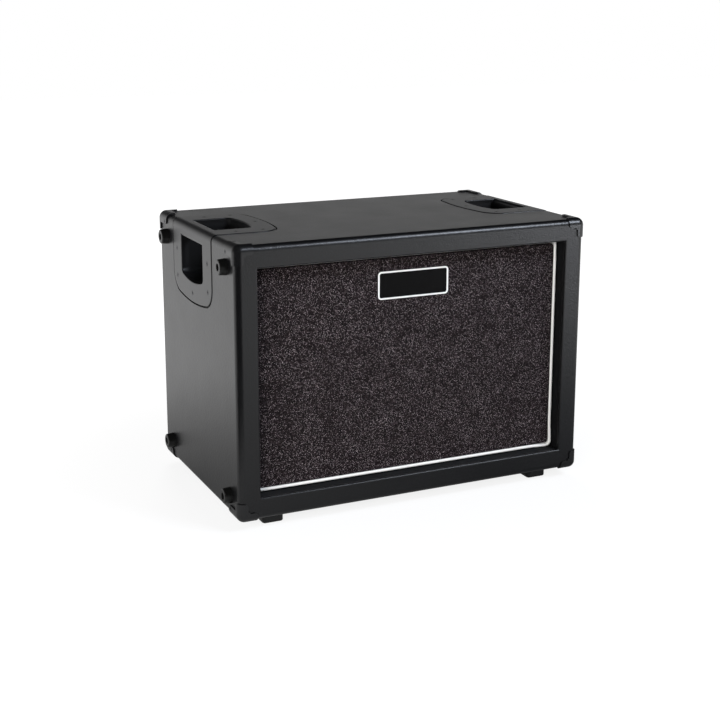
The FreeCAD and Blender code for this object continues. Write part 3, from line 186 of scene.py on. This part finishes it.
def in_grille_recess(tree, place):
    """1 on the walls of the recess that the grille sits in, from a little way behind the front."""
    low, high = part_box("grille_piping")
    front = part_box("vinyl_covering")[0].y
    axes = add(tree, "SeparateXYZ", {0: place}).outputs
    inside = add(tree, "MapRange", {"Value": axes["Y"], "From Min": front + mm(RECESS_FROM),
                                    "From Max": front + mm(RECESS_TO)},
                 interpolation_type="SMOOTHSTEP").outputs["Result"]
    for axis, least, most in (("X", low.x, high.x), ("Z", low.z, high.z)):
        reach = (most - least) / 2 + mm(RECESS_ROUND)
        within = add(tree, "Math", {0: axes[axis], 1: (least + most) / 2, 2: reach}, operation="COMPARE")
        inside = add(tree, "Math", {0: inside, 1: within.outputs[0]}, operation="MULTIPLY").outputs[0]
    return inside


def black_vinyl():
    """PVC leathercloth, embossed: a pebbled grain breaks up a soft satin sheen; dull in the recess."""
    material, tree = new_material("embossed_black_vinyl")
    place = add(tree, "TexCoord").outputs["Object"]
    # Pebbles of a real cloth are about a millimetre; drawn at 2.2 so that they show.
    pebbles = add(tree, "TexVoronoi", {"Vector": place, "Scale": per_mm(2.2)}, feature="SMOOTH_F1")
    folds = add(tree, "TexNoise", {"Vector": place, "Scale": per_mm(45.0), "Detail": 2.0}).outputs["Fac"]
    tint = add(tree, "Mix", {"Factor": folds, 6: srgb("09090a"), 7: srgb("0d0d0e")}, data_type="RGBA")
    satin = add(tree, "MapRange", {"Value": folds, "To Min": 0.3, "To Max": 0.36}).outputs["Result"]
    recess = in_grille_recess(tree, place)
    rough = add(tree, "Mix", {"Factor": recess, "A": satin, "B": 0.95}, data_type="FLOAT")
    puckers = add(tree, "TexNoise", {"Vector": place, "Scale": per_mm(6.0), "Detail": 2.0}).outputs["Fac"]
    soft = add(tree, "Bump", {"Height": puckers, "Distance": mm(0.12), "Strength": 1.0})
    bump = add(tree, "Bump", {"Height": pebbles.outputs["Distance"], "Distance": mm(0.22), "Strength": 0.6,
                              "Normal": soft.outputs["Normal"]})
    shader = add(tree, "BsdfPrincipled", {
        "Base Color": tint.outputs[2], "Roughness": rough.outputs[0],
        "Normal": bump.outputs["Normal"], "IOR": 1.5, "Specular IOR Level": 0.45})
    add(tree, "OutputMaterial", {"Surface": shader.outputs["BSDF"]})
    return material


def depth_inside(tree, place):
    """How far a point lies below the nearer of the cabinet's side and top."""
    low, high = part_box("vinyl_covering")
    axes = add(tree, "SeparateXYZ", {0: place}).outputs
    across = add(tree, "Math", {0: axes["X"], 1: (low.x + high.x) / 2}, operation="SUBTRACT").outputs[0]
    across = add(tree, "Math", {0: across}, operation="ABSOLUTE").outputs[0]
    from_side = add(tree, "Math", {0: (high.x - low.x) / 2, 1: across}, operation="SUBTRACT").outputs[0]
    from_top = add(tree, "Math", {0: high.z, 1: axes["Z"]}, operation="SUBTRACT").outputs[0]
    return add(tree, "Math", {0: from_side, 1: from_top}, operation="MINIMUM").outputs[0]


def birch_plywood():
    """Rotary-cut birch in plies, sanded: pale and silky, and blacked where a handle is let in."""
    material, tree = new_material("birch_plywood")
    place = add(tree, "TexCoord").outputs["Object"]
    along = add(tree, "Mapping", {"Vector": place, "Scale": (0.08, 1.0, 1.0)}).outputs["Vector"]
    grain = add(tree, "TexNoise", {"Vector": along, "Scale": per_mm(3.0), "Detail": 4.0}).outputs["Fac"]
    wood = add(tree, "Mix", {"Factor": grain, 6: srgb("b98f5e"), 7: srgb("dcbf92")}, data_type="RGBA")
    bare = add(tree, "MapRange", {"Value": depth_inside(tree, place), "From Min": mm(LET_IN_BLACK),
                                  "From Max": mm(LET_IN_BARE)})
    tint = add(tree, "Mix", {"Factor": bare.outputs["Result"], 6: srgb("040404"), 7: wood.outputs[2]},
               data_type="RGBA")
    rough = add(tree, "MapRange", {"Value": grain, "To Min": 0.6, "To Max": 0.75})
    bump = add(tree, "Bump", {"Height": grain, "Distance": mm(0.1), "Strength": 0.5})
    shader = add(tree, "BsdfPrincipled", {
        "Base Color": tint.outputs[2], "Roughness": rough.outputs["Result"],
        "Normal": bump.outputs["Normal"]})
    add(tree, "OutputMaterial", {"Surface": shader.outputs["BSDF"]})
    return material


def moulded_handle():
    """ABS with a spark-eroded skin: satin on the flanges; down in the pocket it turns dull, with painted
    shade.
    """
    material, tree = new_material("moulded_abs_spark_skin")
    place = add(tree, "TexCoord").outputs["Object"]
    grain = add(tree, "TexNoise", {"Vector": place, "Scale": per_mm(1.2), "Detail": 2.0}).outputs["Fac"]
    # How far down the pocket a point lies: it drives the dull roughness and the painted shade.
    pocket_dull_and_shade = add(tree, "MapRange", {"Value": depth_inside(tree, place), "From Min": mm(POCKET_SHADE_FROM),
                                    "From Max": mm(POCKET_SHADE_TO)},
                 interpolation_type="SMOOTHSTEP").outputs["Result"]
    skin = add(tree, "Mix", {"Factor": grain, 6: srgb("0b0b0c"), 7: srgb("111112")}, data_type="RGBA")
    # Painted shade: down in the pocket the tint darkens to near black.
    tint = add(tree, "Mix", {"Factor": pocket_dull_and_shade, 6: skin.outputs[2], 7: srgb("030303")}, data_type="RGBA")
    satin = add(tree, "MapRange", {"Value": grain, "To Min": 0.3, "To Max": 0.38}).outputs["Result"]
    rough = add(tree, "Mix", {"Factor": pocket_dull_and_shade, "A": satin, "B": 0.9}, data_type="FLOAT")
    bump = add(tree, "Bump", {"Height": grain, "Distance": mm(0.1), "Strength": 0.4})
    shader = add(tree, "BsdfPrincipled", {
        "Base Color": tint.outputs[2], "Roughness": rough.outputs[0],
        "Normal": bump.outputs["Normal"], "Specular IOR Level": 0.45})
    add(tree, "OutputMaterial", {"Surface": shader.outputs["BSDF"]})
    return material


def woven_grille_cloth():
    """Woven plastic-coated yarn: dark threads with pale flecks where light ones come up."""
    material, tree = new_material("woven_grille_cloth")
    place = add(tree, "TexCoord").outputs["Object"]
    # One fleck for each crossing of the threads, which lie 0.6 mm apart
    cells = add(tree, "VectorMath", {0: place, 1: [per_mm(0.6)] * 3}, operation="MULTIPLY")
    cell = add(tree, "VectorMath", {0: cells.outputs["Vector"]}, operation="FLOOR")
    chance = add(tree, "TexWhiteNoise", {"Vector": cell.outputs["Vector"]}).outputs["Value"]
    patches = add(tree, "TexNoise", {"Vector": place, "Scale": per_mm(35.0), "Detail": 3.0}).outputs["Fac"]
    lift = add(tree, "MapRange", {"Value": patches, "From Min": 0.3, "From Max": 0.7,
                                  "To Min": 0.98, "To Max": 1.01}).outputs["Result"]
    level = add(tree, "Math", {0: chance, 1: lift}, operation="MULTIPLY").outputs["Value"]
    tint = add(tree, "ValToRGB", {"Fac": level})
    ramp = tint.color_ramp
    ramp.elements[0].color = srgb("040303")
    ramp.elements[1].color = srgb("c4b7b9")
    for where, code in ((0.35, "0e0b0b"), (0.6, "1d1718"), (0.8, "302729"), (0.92, "4e4345")):
        ramp.elements.new(where).color = srgb(code)
    # Warp and weft stand up in rounded ribs, drawn over two threads each so that they show.
    # A wave's bands repeat every pi / 10 at scale 1.
    ribs = per_mm(1.2) * math.pi / 10
    warp = add(tree, "TexWave", {"Vector": place, "Scale": ribs}, bands_direction="X").outputs["Fac"]
    weft = add(tree, "TexWave", {"Vector": place, "Scale": ribs}, bands_direction="Z").outputs["Fac"]
    weave = add(tree, "Math", {0: warp, 1: weft}, operation="MAXIMUM").outputs[0]
    fleck = add(tree, "Bump", {"Height": level, "Distance": mm(0.3), "Strength": 0.5})
    bump = add(tree, "Bump", {"Height": weave, "Distance": mm(0.25), "Strength": 0.5,
                              "Normal": fleck.outputs["Normal"]})
    shader = add(tree, "BsdfPrincipled", {
        "Base Color": tint.outputs["Color"], "Roughness": 0.75,
        "Normal": bump.outputs["Normal"], "Specular IOR Level": 0.1})
    add(tree, "OutputMaterial", {"Surface": shader.outputs["BSDF"]})
    return material


def outer_finishes():
    """Finishes that show from outside, by the record's material slots."""
    metal = {"Metallic": 1.0}
    return {
        "vinyl": black_vinyl(),
        "grille_cloth": woven_grille_cloth(),
        "handle_plastic": moulded_handle(),
        # Extruded white PVC: slightly glossy and a little uneven along its length
        "piping": grained("extruded_white_pvc", ("e6e5e1", "eeede9"), 12.0, (0.3, 0.4), 0.05),
        # Moulded nylon, smoother than the handles: narrow soft highlights on its bends
        "corner_plastic": grained("moulded_black_nylon", ("0c0c0d", "121213"), 1.5, (0.26, 0.34), 0.05),
        # Vulcanised rubber, smooth from the mould: black, with a soft sheen on its round edges
        "foot_rubber": grained("vulcanised_black_rubber", ("0a0a0a", "121211"), 1.0, (0.32, 0.42), 0.08),
        # Moulded ABS under a dull lacquer: a plain field that stays black
        "badge_black": grained("lacquered_black_abs", ("060606", "0a0a0a"), 8.0, (0.3, 0.36), 0.01,
                               **{"Specular IOR Level": 0.06}),
        # Hot-stamped foil: clean white with an even, silky face
        "badge_white": grained("hot_stamped_white", ("efeeea", "f6f5f2"), 4.0, (0.32, 0.4), 0.02),
        # Zinc plate under black chromate: dark metal with a soft gloss
        "black_screw": grained("black_chromate_zinc", ("242426", "303033"), 0.8, (0.32, 0.45), 0.02,
                               **metal),
        # Oxidised steel, oiled: blue-black with a dim shine on its rims
        "cup_black": grained("black_oxide_steel", ("1d1d1f", "28282a"), 1.0, (0.35, 0.48), 0.02, **metal),
        # Sprayed speckle paint over fibreboard: a pebbled orange peel
        "back_board": grained("speckle_painted_board", ("1c1c1e", "3a3a3c"), 1.4, (0.5, 0.7), 0.4),
        # Powder coat on pressed steel: an even fine texture, half matt
        "dish_paint": grained("black_powder_coat", ("161718", "1f2021"), 0.7, (0.45, 0.58), 0.12),
        # Moulded phenolic: hard and smooth, with small clear highlights
        "jack_plastic": grained("black_phenolic", ("0f0f10", "171718"), 1.5, (0.3, 0.4), 0.03),
        # Nickel-plated brass, tumbled: bright and slightly warm
        "nut_chrome": grained("nickel_plated_brass", ("bdb9b0", "d2cec6"), 2.0, (0.16, 0.26), 0.01,
                              **metal),
    }


def inner_finishes():
    """Finishes inside the cabinet: boards, fixings and the driver, by the record's material slots."""
    metal = {"Metallic": 1.0}
    return {
        "plywood": birch_plywood(),
        # Planed pine: pale, with long straight grain
        "pine": grained("planed_pine", ("c09458", "e3c590"), 5.0, (0.5, 0.65), 0.1, (0.05, 1, 1)),
        # Flat paint on fibreboard: dark and dead matt, so that nothing shows through the cloth
        "grille_board": grained("painted_fibreboard", ("201f1e", "2c2a28"), 1.0, (0.7, 0.85), 0.1),
        # Woven nylon hook tape: a dense black nap
        "hook_tape": grained("nylon_hook_tape", ("0f0f10", "232324"), 0.6, (0.7, 0.9), 0.4),
        # Bright zinc plate: cool silver, a little cloudy
        "zinc_steel": grained("bright_zinc_plate", ("a9adb1", "c6c8c6"), 1.5, (0.25, 0.4), 0.02, **metal),
        # Closed-cell foam, sliced: pores and no shine
        "seal_foam": grained("closed_cell_foam", ("161616", "2b2b2b"), 0.9, (0.85, 0.95), 0.5),
        # Stoved enamel on pressed steel: smooth and half glossy
        "basket_paint": grained("stoved_black_enamel", ("1b1c1d", "262728"), 3.0, (0.3, 0.42), 0.05),
        # Pressed cork: brown crumbs, dry
        "gasket_board": grained("pressed_cork_board", ("4c3a28", "7d6244"), 1.6, (0.8, 0.95), 0.3),
        # Paper brushed with dope: dark, with a slight shine along the pleats
        "surround_paper": grained("doped_paper_edge", ("191715", "26231f"), 2.0, (0.4, 0.6), 0.1),
        # Pressed pulp: a dry, felted grey
        "cone_paper": grained("pressed_pulp_paper", ("2a2725", "45413b"), 1.2, (0.75, 0.9), 0.2),
        # Rolled aluminium: pale and softly bright
        "coil_aluminium": grained("rolled_aluminium", ("b7b9bc", "cfd1d3"), 2.0, (0.3, 0.42), 0.02,
                                  **metal),
        # Cotton dipped in resin: amber threads, stiff and dry
        "spider_cloth": grained("resin_dipped_cotton", ("8f6430", "c4945a"), 0.8, (0.7, 0.85), 0.2),
        # Yellow zinc plate: golden, with soft clouds
        "magnet_steel": grained("yellow_zinc_plate", ("a08a52", "c2b07a"), 6.0, (0.28, 0.42), 0.02,
                                **metal),
        # Sintered ferrite, ground: dense charcoal grey, dull
        "ferrite": grained("sintered_ferrite", ("232322", "353433"), 0.8, (0.6, 0.8), 0.1),
        # Phenolic paper board, sawn: toffee brown with a low sheen
        "terminal_board": grained("phenolic_paper_board", ("5a3b20", "7d5832"), 2.0, (0.4, 0.55), 0.05),
        # Braided tinsel: coppery strands that glint
        "tinsel": grained("braided_tinsel", ("9c6f4a", "d3a67c"), 0.5, (0.3, 0.5), 0.15, **metal),
        # Extruded PVC sleeve: black and smooth, with a long soft highlight
        "lead_rubber": grained("black_pvc_sleeve", ("121212", "1b1b1b"), 1.5, (0.4, 0.55), 0.03),
    }


def dress_nodes(finish):
    """Give every CAD node the finish of its material slot."""
    for node in nodes.values():
        for slot in node.material_slots:
            slot.material = finish[slot.material.name]


# Pieces that stand for the grille's soft nodes

def grille_extent(node):
    """Middle, half width, half height, front and back of an upright node, in millimetres."""
    low, high = [Vector(corner) * 1000.0 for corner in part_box(node)]
    middle, half = (low + high) / 2, (high - low) / 2
    return middle, half.x, half.z, low.y, high.y


def cloth_stops(half, radius):
    """Places of the cloth's rows along one axis: close together at the corners, even between."""
    flat = half - radius
    count = round(2 * flat / CLOTH_CELL)
    ends = [half - radius * i / CORNER_STEPS for i in range(CORNER_STEPS)]
    return [-e for e in ends] + [flat * (2 * i / count - 1) for i in range(count + 1)] + ends[::-1]


def into_round_corner(x, z, half_x, half_z, radius):
    """Bend the square corner of a grid into a quarter disc."""
    over_x, over_z = abs(x) - (half_x - radius), abs(z) - (half_z - radius)
    if over_x <= 0 or over_z <= 0:
        return x, z
    far = max(over_x, over_z)
    turn = math.pi / 4 * (over_z / over_x if over_x >= over_z else 2 - over_x / over_z)
    bent_x = half_x - radius + far * math.cos(turn)
    bent_z = half_z - radius + far * math.sin(turn)
    return math.copysign(bent_x, x), math.copysign(bent_z, z)


def outward(x, z, half_x, half_z, radius):
    """Direction out of a rounded rectangle at a point of its edge."""
    core_x = min(max(x, radius - half_x), half_x - radius)
    core_z = min(max(z, radius - half_z), half_z - radius)
    return Vector((x - core_x, z - core_z)).normalized()


def grille_cloth(material):
    """Cloth pulled over the frame: a flat face, rolled edges and turned-back sides."""
    middle, half_x, half_z, front, back = grille_extent("grille_cloth")
    half_x, half_z = half_x - CLOTH_ROLL_R, half_z - CLOTH_ROLL_R
    radius = CLOTH_CORNER_R - CLOTH_ROLL_R
    columns, rows = cloth_stops(half_x, radius), cloth_stops(half_z, radius)
    wide, tall = len(columns), len(rows)
    flat = [into_round_corner(x, z, half_x, half_z, radius) for z in rows for x in columns]
    points = [(x, front, z) for x, z in flat]
    faces = [(r * wide + c, r * wide + c + 1, (r + 1) * wide + c + 1, (r + 1) * wide + c)
             for r in range(tall - 1) for c in range(wide - 1)]

    rim = list(range(wide))
    rim += [r * wide + wide - 1 for r in range(1, tall)]
    rim += [(tall - 1) * wide + c for c in range(wide - 2, -1, -1)]
    rim += [r * wide for r in range(tall - 2, 0, -1)]
    turns = [math.pi / 2 * i / ROLL_STEPS for i in range(1, ROLL_STEPS + 1)]
    rings = [(CLOTH_ROLL_R * math.sin(a), front + CLOTH_ROLL_R * (1 - math.cos(a))) for a in turns]
    rings += [(CLOTH_ROLL_R, (front + back) / 2), (CLOTH_ROLL_R, back)]
    inner = rim
    for out, y in rings:
        ring = range(len(points), len(points) + len(rim))
        for i in rim:
            x, z = flat[i]
            way = outward(x, z, half_x, half_z, radius)
            points.append((x + out * way.x, y, z + out * way.y))
        for i in range(len(rim)):
            j = (i + 1) % len(rim)
            faces.append((inner[i], ring[i], ring[j], inner[j]))
        inner = ring

    placed = [(mm(middle.x + x), mm(y), mm(middle.z + z)) for x, y, z in points]
    cloth = new_piece("stretched_grille_cloth", placed, faces, material)
    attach(cloth, "cabinet")
    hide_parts("grille_cloth")


def bead_line(half_x, half_z):
    """The bead's line round the grille: each place, the way out there, and how far a corner is."""
    bends = []
    for side, level, start in ((1, 1, 90), (1, -1, 0), (-1, -1, -90), (-1, 1, -180)):
        core = Vector((side * (half_x - BEAD_CORNER_R), level * (half_z - BEAD_CORNER_R)))
        for i in range(2 * CORNER_STEPS + 1):
            turn = math.radians(start - 90 * i / (2 * CORNER_STEPS))
            way = Vector((math.cos(turn), math.sin(turn)))
            bends.append((core + way * BEAD_CORNER_R, way))
    line = []
    for (place, way), (following, _) in zip(bends, bends[1:] + bends[:1]):
        reach = (following - place).length
        count = max(1, round(reach / CLOTH_CELL))
        for i in range(count):
            along = reach * i / count
            line.append((place.lerp(following, i / count), way, min(along, reach - along)))
    return line


def grille_piping(material):
    """A round bead round the cloth and the flat welt that holds it, in one section."""
    middle, half_x, half_z, front, back = grille_extent("grille_piping")
    half_x, half_z, depth = half_x - BEAD_R, half_z - BEAD_R, front + BEAD_R
    meets = math.acos(WELT_T / BEAD_R - 1)
    turns = [math.pi + (math.pi + meets) * i / BEAD_STEPS for i in range(BEAD_STEPS + 1)]
    section = [(BEAD_R * math.cos(a), BEAD_R * math.sin(a)) for a in turns]
    section += [(WELT_T - BEAD_R, back - depth), (-BEAD_R, back - depth)]
    size = len(section)

    points = []
    line = bead_line(half_x, half_z)
    for place, way, corner in line:
        # The top run sits up against the rail; the lower right corner springs outward.
        top = max(0.0, 1 - (half_z - place.y) / BEAD_FLARE_L)
        up = BEAD_TOP_UP if place.y > half_z - BEAD_CORNER_R - SAME_PLACE else 0.0
        near = max(0.0, 1 - corner / BEAD_FLARE_L)
        flare = BEAD_FLARE * eased(near) if place.x > 0 > place.y else 0.0
        for out, behind in section:
            at = place + way * (out + flare)
            fade = 1 - max(0.0, behind) / (back - depth)
            points.append((at.x, depth + behind + BEAD_TOP_BACK * top * fade, at.y + up))
    faces = []
    for i in range(len(line)):
        this, following = i * size, (i + 1) % len(line) * size
        for j in range(size):
            k = (j + 1) % size
            faces.append((this + j, following + j, following + k, this + k))

    placed = [(mm(middle.x + x), mm(y), mm(middle.z + z)) for x, y, z in points]
    piping = new_piece("white_grille_piping", placed, faces, material)
    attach(piping, "cabinet")
    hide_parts("grille_piping")


# Pieces of the driver that stand for the nodes which flex with the cone

def flexing(node, material):
    """A piece in a node's own shape and the given finish, which stands in for the node."""
    piece = bpy.data.objects.new("flexing_" + node, nodes[node].data.copy())
    piece.data.materials.clear()
    piece.data.materials.append(material)
    bpy.context.scene.collection.objects.link(piece)
    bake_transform(piece)
    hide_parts(node)
    return piece


def flexing_ring(node, material):
    """A pleated ring, as a piece in the node's own shape."""
    piece = flexing(node, material)


def flexing_leads(material):
    """Tinsel leads, as a piece in the node's own shape."""
    flexing("tinsel_leads", material)


# Studio

def rays_that_show(tree):
    """The rays that carry the background to the eye: straight ones, and mirrored or through glass."""
    path = add(tree, "LightPath").outputs
    mirrored = add(tree, "Math", {0: path["Is Glossy Ray"], 1: path["Is Transmission Ray"]},
                   operation="MAXIMUM")
    return path["Is Camera Ray"], mirrored.outputs[0]


def studio_floor():
    """A white floor that glows to the eye; mirrored, it darkens in pools of painted shade near the object.
    """
    material, tree = new_material("white_studio_floor")
    straight, mirrored = rays_that_show(tree)
    place = add(tree, "TexCoord").outputs["Object"]
    faded = add(tree, "Math", {0: mirrored, 1: FLOOR_MIRRORED}, operation="MULTIPLY").outputs[0]
    # Painted shade: each pool dims the floor's mirrored glow towards its middle.
    for centre, dark_r, bright_r, dark in FLOOR_SHADE_POOLS:
        away = add(tree, "VectorMath", {0: place, 1: centre}, operation="DISTANCE").outputs["Value"]
        pool = add(tree, "MapRange", {"Value": away, "From Min": dark_r, "From Max": bright_r,
                                      "To Min": dark, "To Max": 1.0}, interpolation_type="SMOOTHSTEP")
        faded = add(tree, "Math", {0: faded, 1: pool.outputs["Result"]}, operation="MULTIPLY").outputs[0]
    away = add(tree, "VectorMath", {0: place}, operation="LENGTH").outputs["Value"]
    near = add(tree, "MapRange", {"Value": away, "From Min": FLOOR_NEAR_R, "From Max": FLOOR_FAR_R,
                                  "To Min": FLOOR_NEAR, "To Max": 1.0}, interpolation_type="SMOOTHSTEP")
    white = add(tree, "Math", {0: straight, 1: near.outputs["Result"]}, operation="MULTIPLY").outputs[0]
    shown = add(tree, "Math", {0: white, 1: faded}, operation="MAXIMUM").outputs[0]
    glow = add(tree, "Emission", {"Strength": shown})
    paint = add(tree, "BsdfDiffuse", {"Color": srgb(FLOOR_PAINT)})
    both = add(tree, "AddShader", {0: glow.outputs[0], 1: paint.outputs[0]})
    add(tree, "OutputMaterial", {"Surface": both.outputs[0]})
    half = FLOOR_HALF
    corners = [(-half, -half, 0), (half, -half, 0), (half, half, 0), (-half, half, 0)]
    new_piece("floor", corners, [(0, 1, 2, 3)], material)


def studio_walls():
    """White low down, where the eye meets it, and dark from a little above the horizon."""
    world = bpy.data.worlds.new("white_studio")
    world.use_nodes = True
    bpy.context.scene.world = world
    tree = world.node_tree
    tree.nodes.clear()
    straight, mirrored = rays_that_show(tree)
    height = add(tree, "SeparateXYZ", {0: add(tree, "TexCoord").outputs["Generated"]}).outputs["Z"]
    low = add(tree, "MapRange", {"Value": height, "From Min": WALL_WHITE_TO, "From Max": WALL_DARK_FROM,
                                 "To Min": 1.0, "To Max": 0.0}, interpolation_type="SMOOTHSTEP")
    seen = add(tree, "Math", {0: mirrored, 1: low.outputs["Result"]}, operation="MULTIPLY").outputs[0]
    seen = add(tree, "Math", {0: straight, 1: seen}, operation="MAXIMUM").outputs[0]
    showing = add(tree, "Math", {0: straight, 1: mirrored}, operation="ADD").outputs[0]
    fill = add(tree, "MapRange", {"Value": showing, "To Min": FILL, "To Max": 0.0}).outputs["Result"]
    level = add(tree, "Math", {0: seen, 1: fill}, operation="MAXIMUM").outputs[0]
    sky = add(tree, "Background", {"Color": srgb("ffffff"), "Strength": level})
    add(tree, "OutputWorld", {"Surface": sky.outputs[0]})


def studio_flag():
    """A folded black card to the front left that only reflections see."""
    material, tree = new_material("black_flag")
    black = add(tree, "BsdfDiffuse", {"Color": srgb("000000")})
    add(tree, "OutputMaterial", {"Surface": black.outputs[0]})
    points = [(x, y, z) for x, y in FLAG for z in (0.0, FLAG_HIGH)]
    faces = [(2 * i, 2 * i + 2, 2 * i + 3, 2 * i + 1) for i in range(len(FLAG) - 1)]
    flag = new_piece("flag", points, faces, material)
    for ray in ("camera", "diffuse", "transmission", "shadow"):
        setattr(flag, "visible_" + ray, False)


def lamp(name, place, aim, size, power, tint):
    light = bpy.data.lights.new(name, "AREA")
    light.color = srgb(tint)[:3]
    light.shape = "RECTANGLE"
    light.size, light.size_y = size
    light.energy = power
    made = bpy.data.objects.new(name, light)
    made.location = place
    made.visible_camera = False
    made.rotation_euler = (Vector(aim) - Vector(place)).to_track_quat("-Z", "Y").to_euler()
    bpy.context.scene.collection.objects.link(made)
    return made


def studio_lamps():
    """A soft key from the front right with low and side lamps, and three lamps for dull surfaces."""
    lamp("key", *KEY)
    lamp("side", *SIDE)
    lamp("low", *LOW)
    # These only lift dull surfaces, so that no gloss answers them.
    lamp("front", *FRONT).visible_glossy = False
    lamp("across", *ACROSS).visible_glossy = False
    lamp("rear", *REAR).visible_glossy = False


def studio_camera():
    camera = bpy.data.objects.new("camera", bpy.data.cameras.new("camera"))
    bpy.context.scene.collection.objects.link(camera)
    camera.location = CAMERA_PLACE
    camera.rotation_euler = (math.radians(90 - CAMERA_PITCH), 0, math.radians(-CAMERA_YAW))
    camera.data.lens = CAMERA_LENS
    camera.data.shift_x, camera.data.shift_y = CAMERA_SHIFT
    camera.data.clip_end = CAMERA_REACH
    bpy.context.scene.camera = camera


def main():
    finish = {**outer_finishes(), **inner_finishes()}
    dress_nodes(finish)
    grille_cloth(finish["grille_cloth"])
    grille_piping(finish["piping"])
    for node, (slot, rim, neck) in FLEXING_RINGS.items():
        flexing_ring(node, finish[slot])
    flexing_leads(finish["tinsel"])
    bpy.context.scene.view_settings.view_transform = "Standard"
    studio_floor()
    studio_walls()
    studio_flag()
    studio_lamps()
    studio_camera()


main()
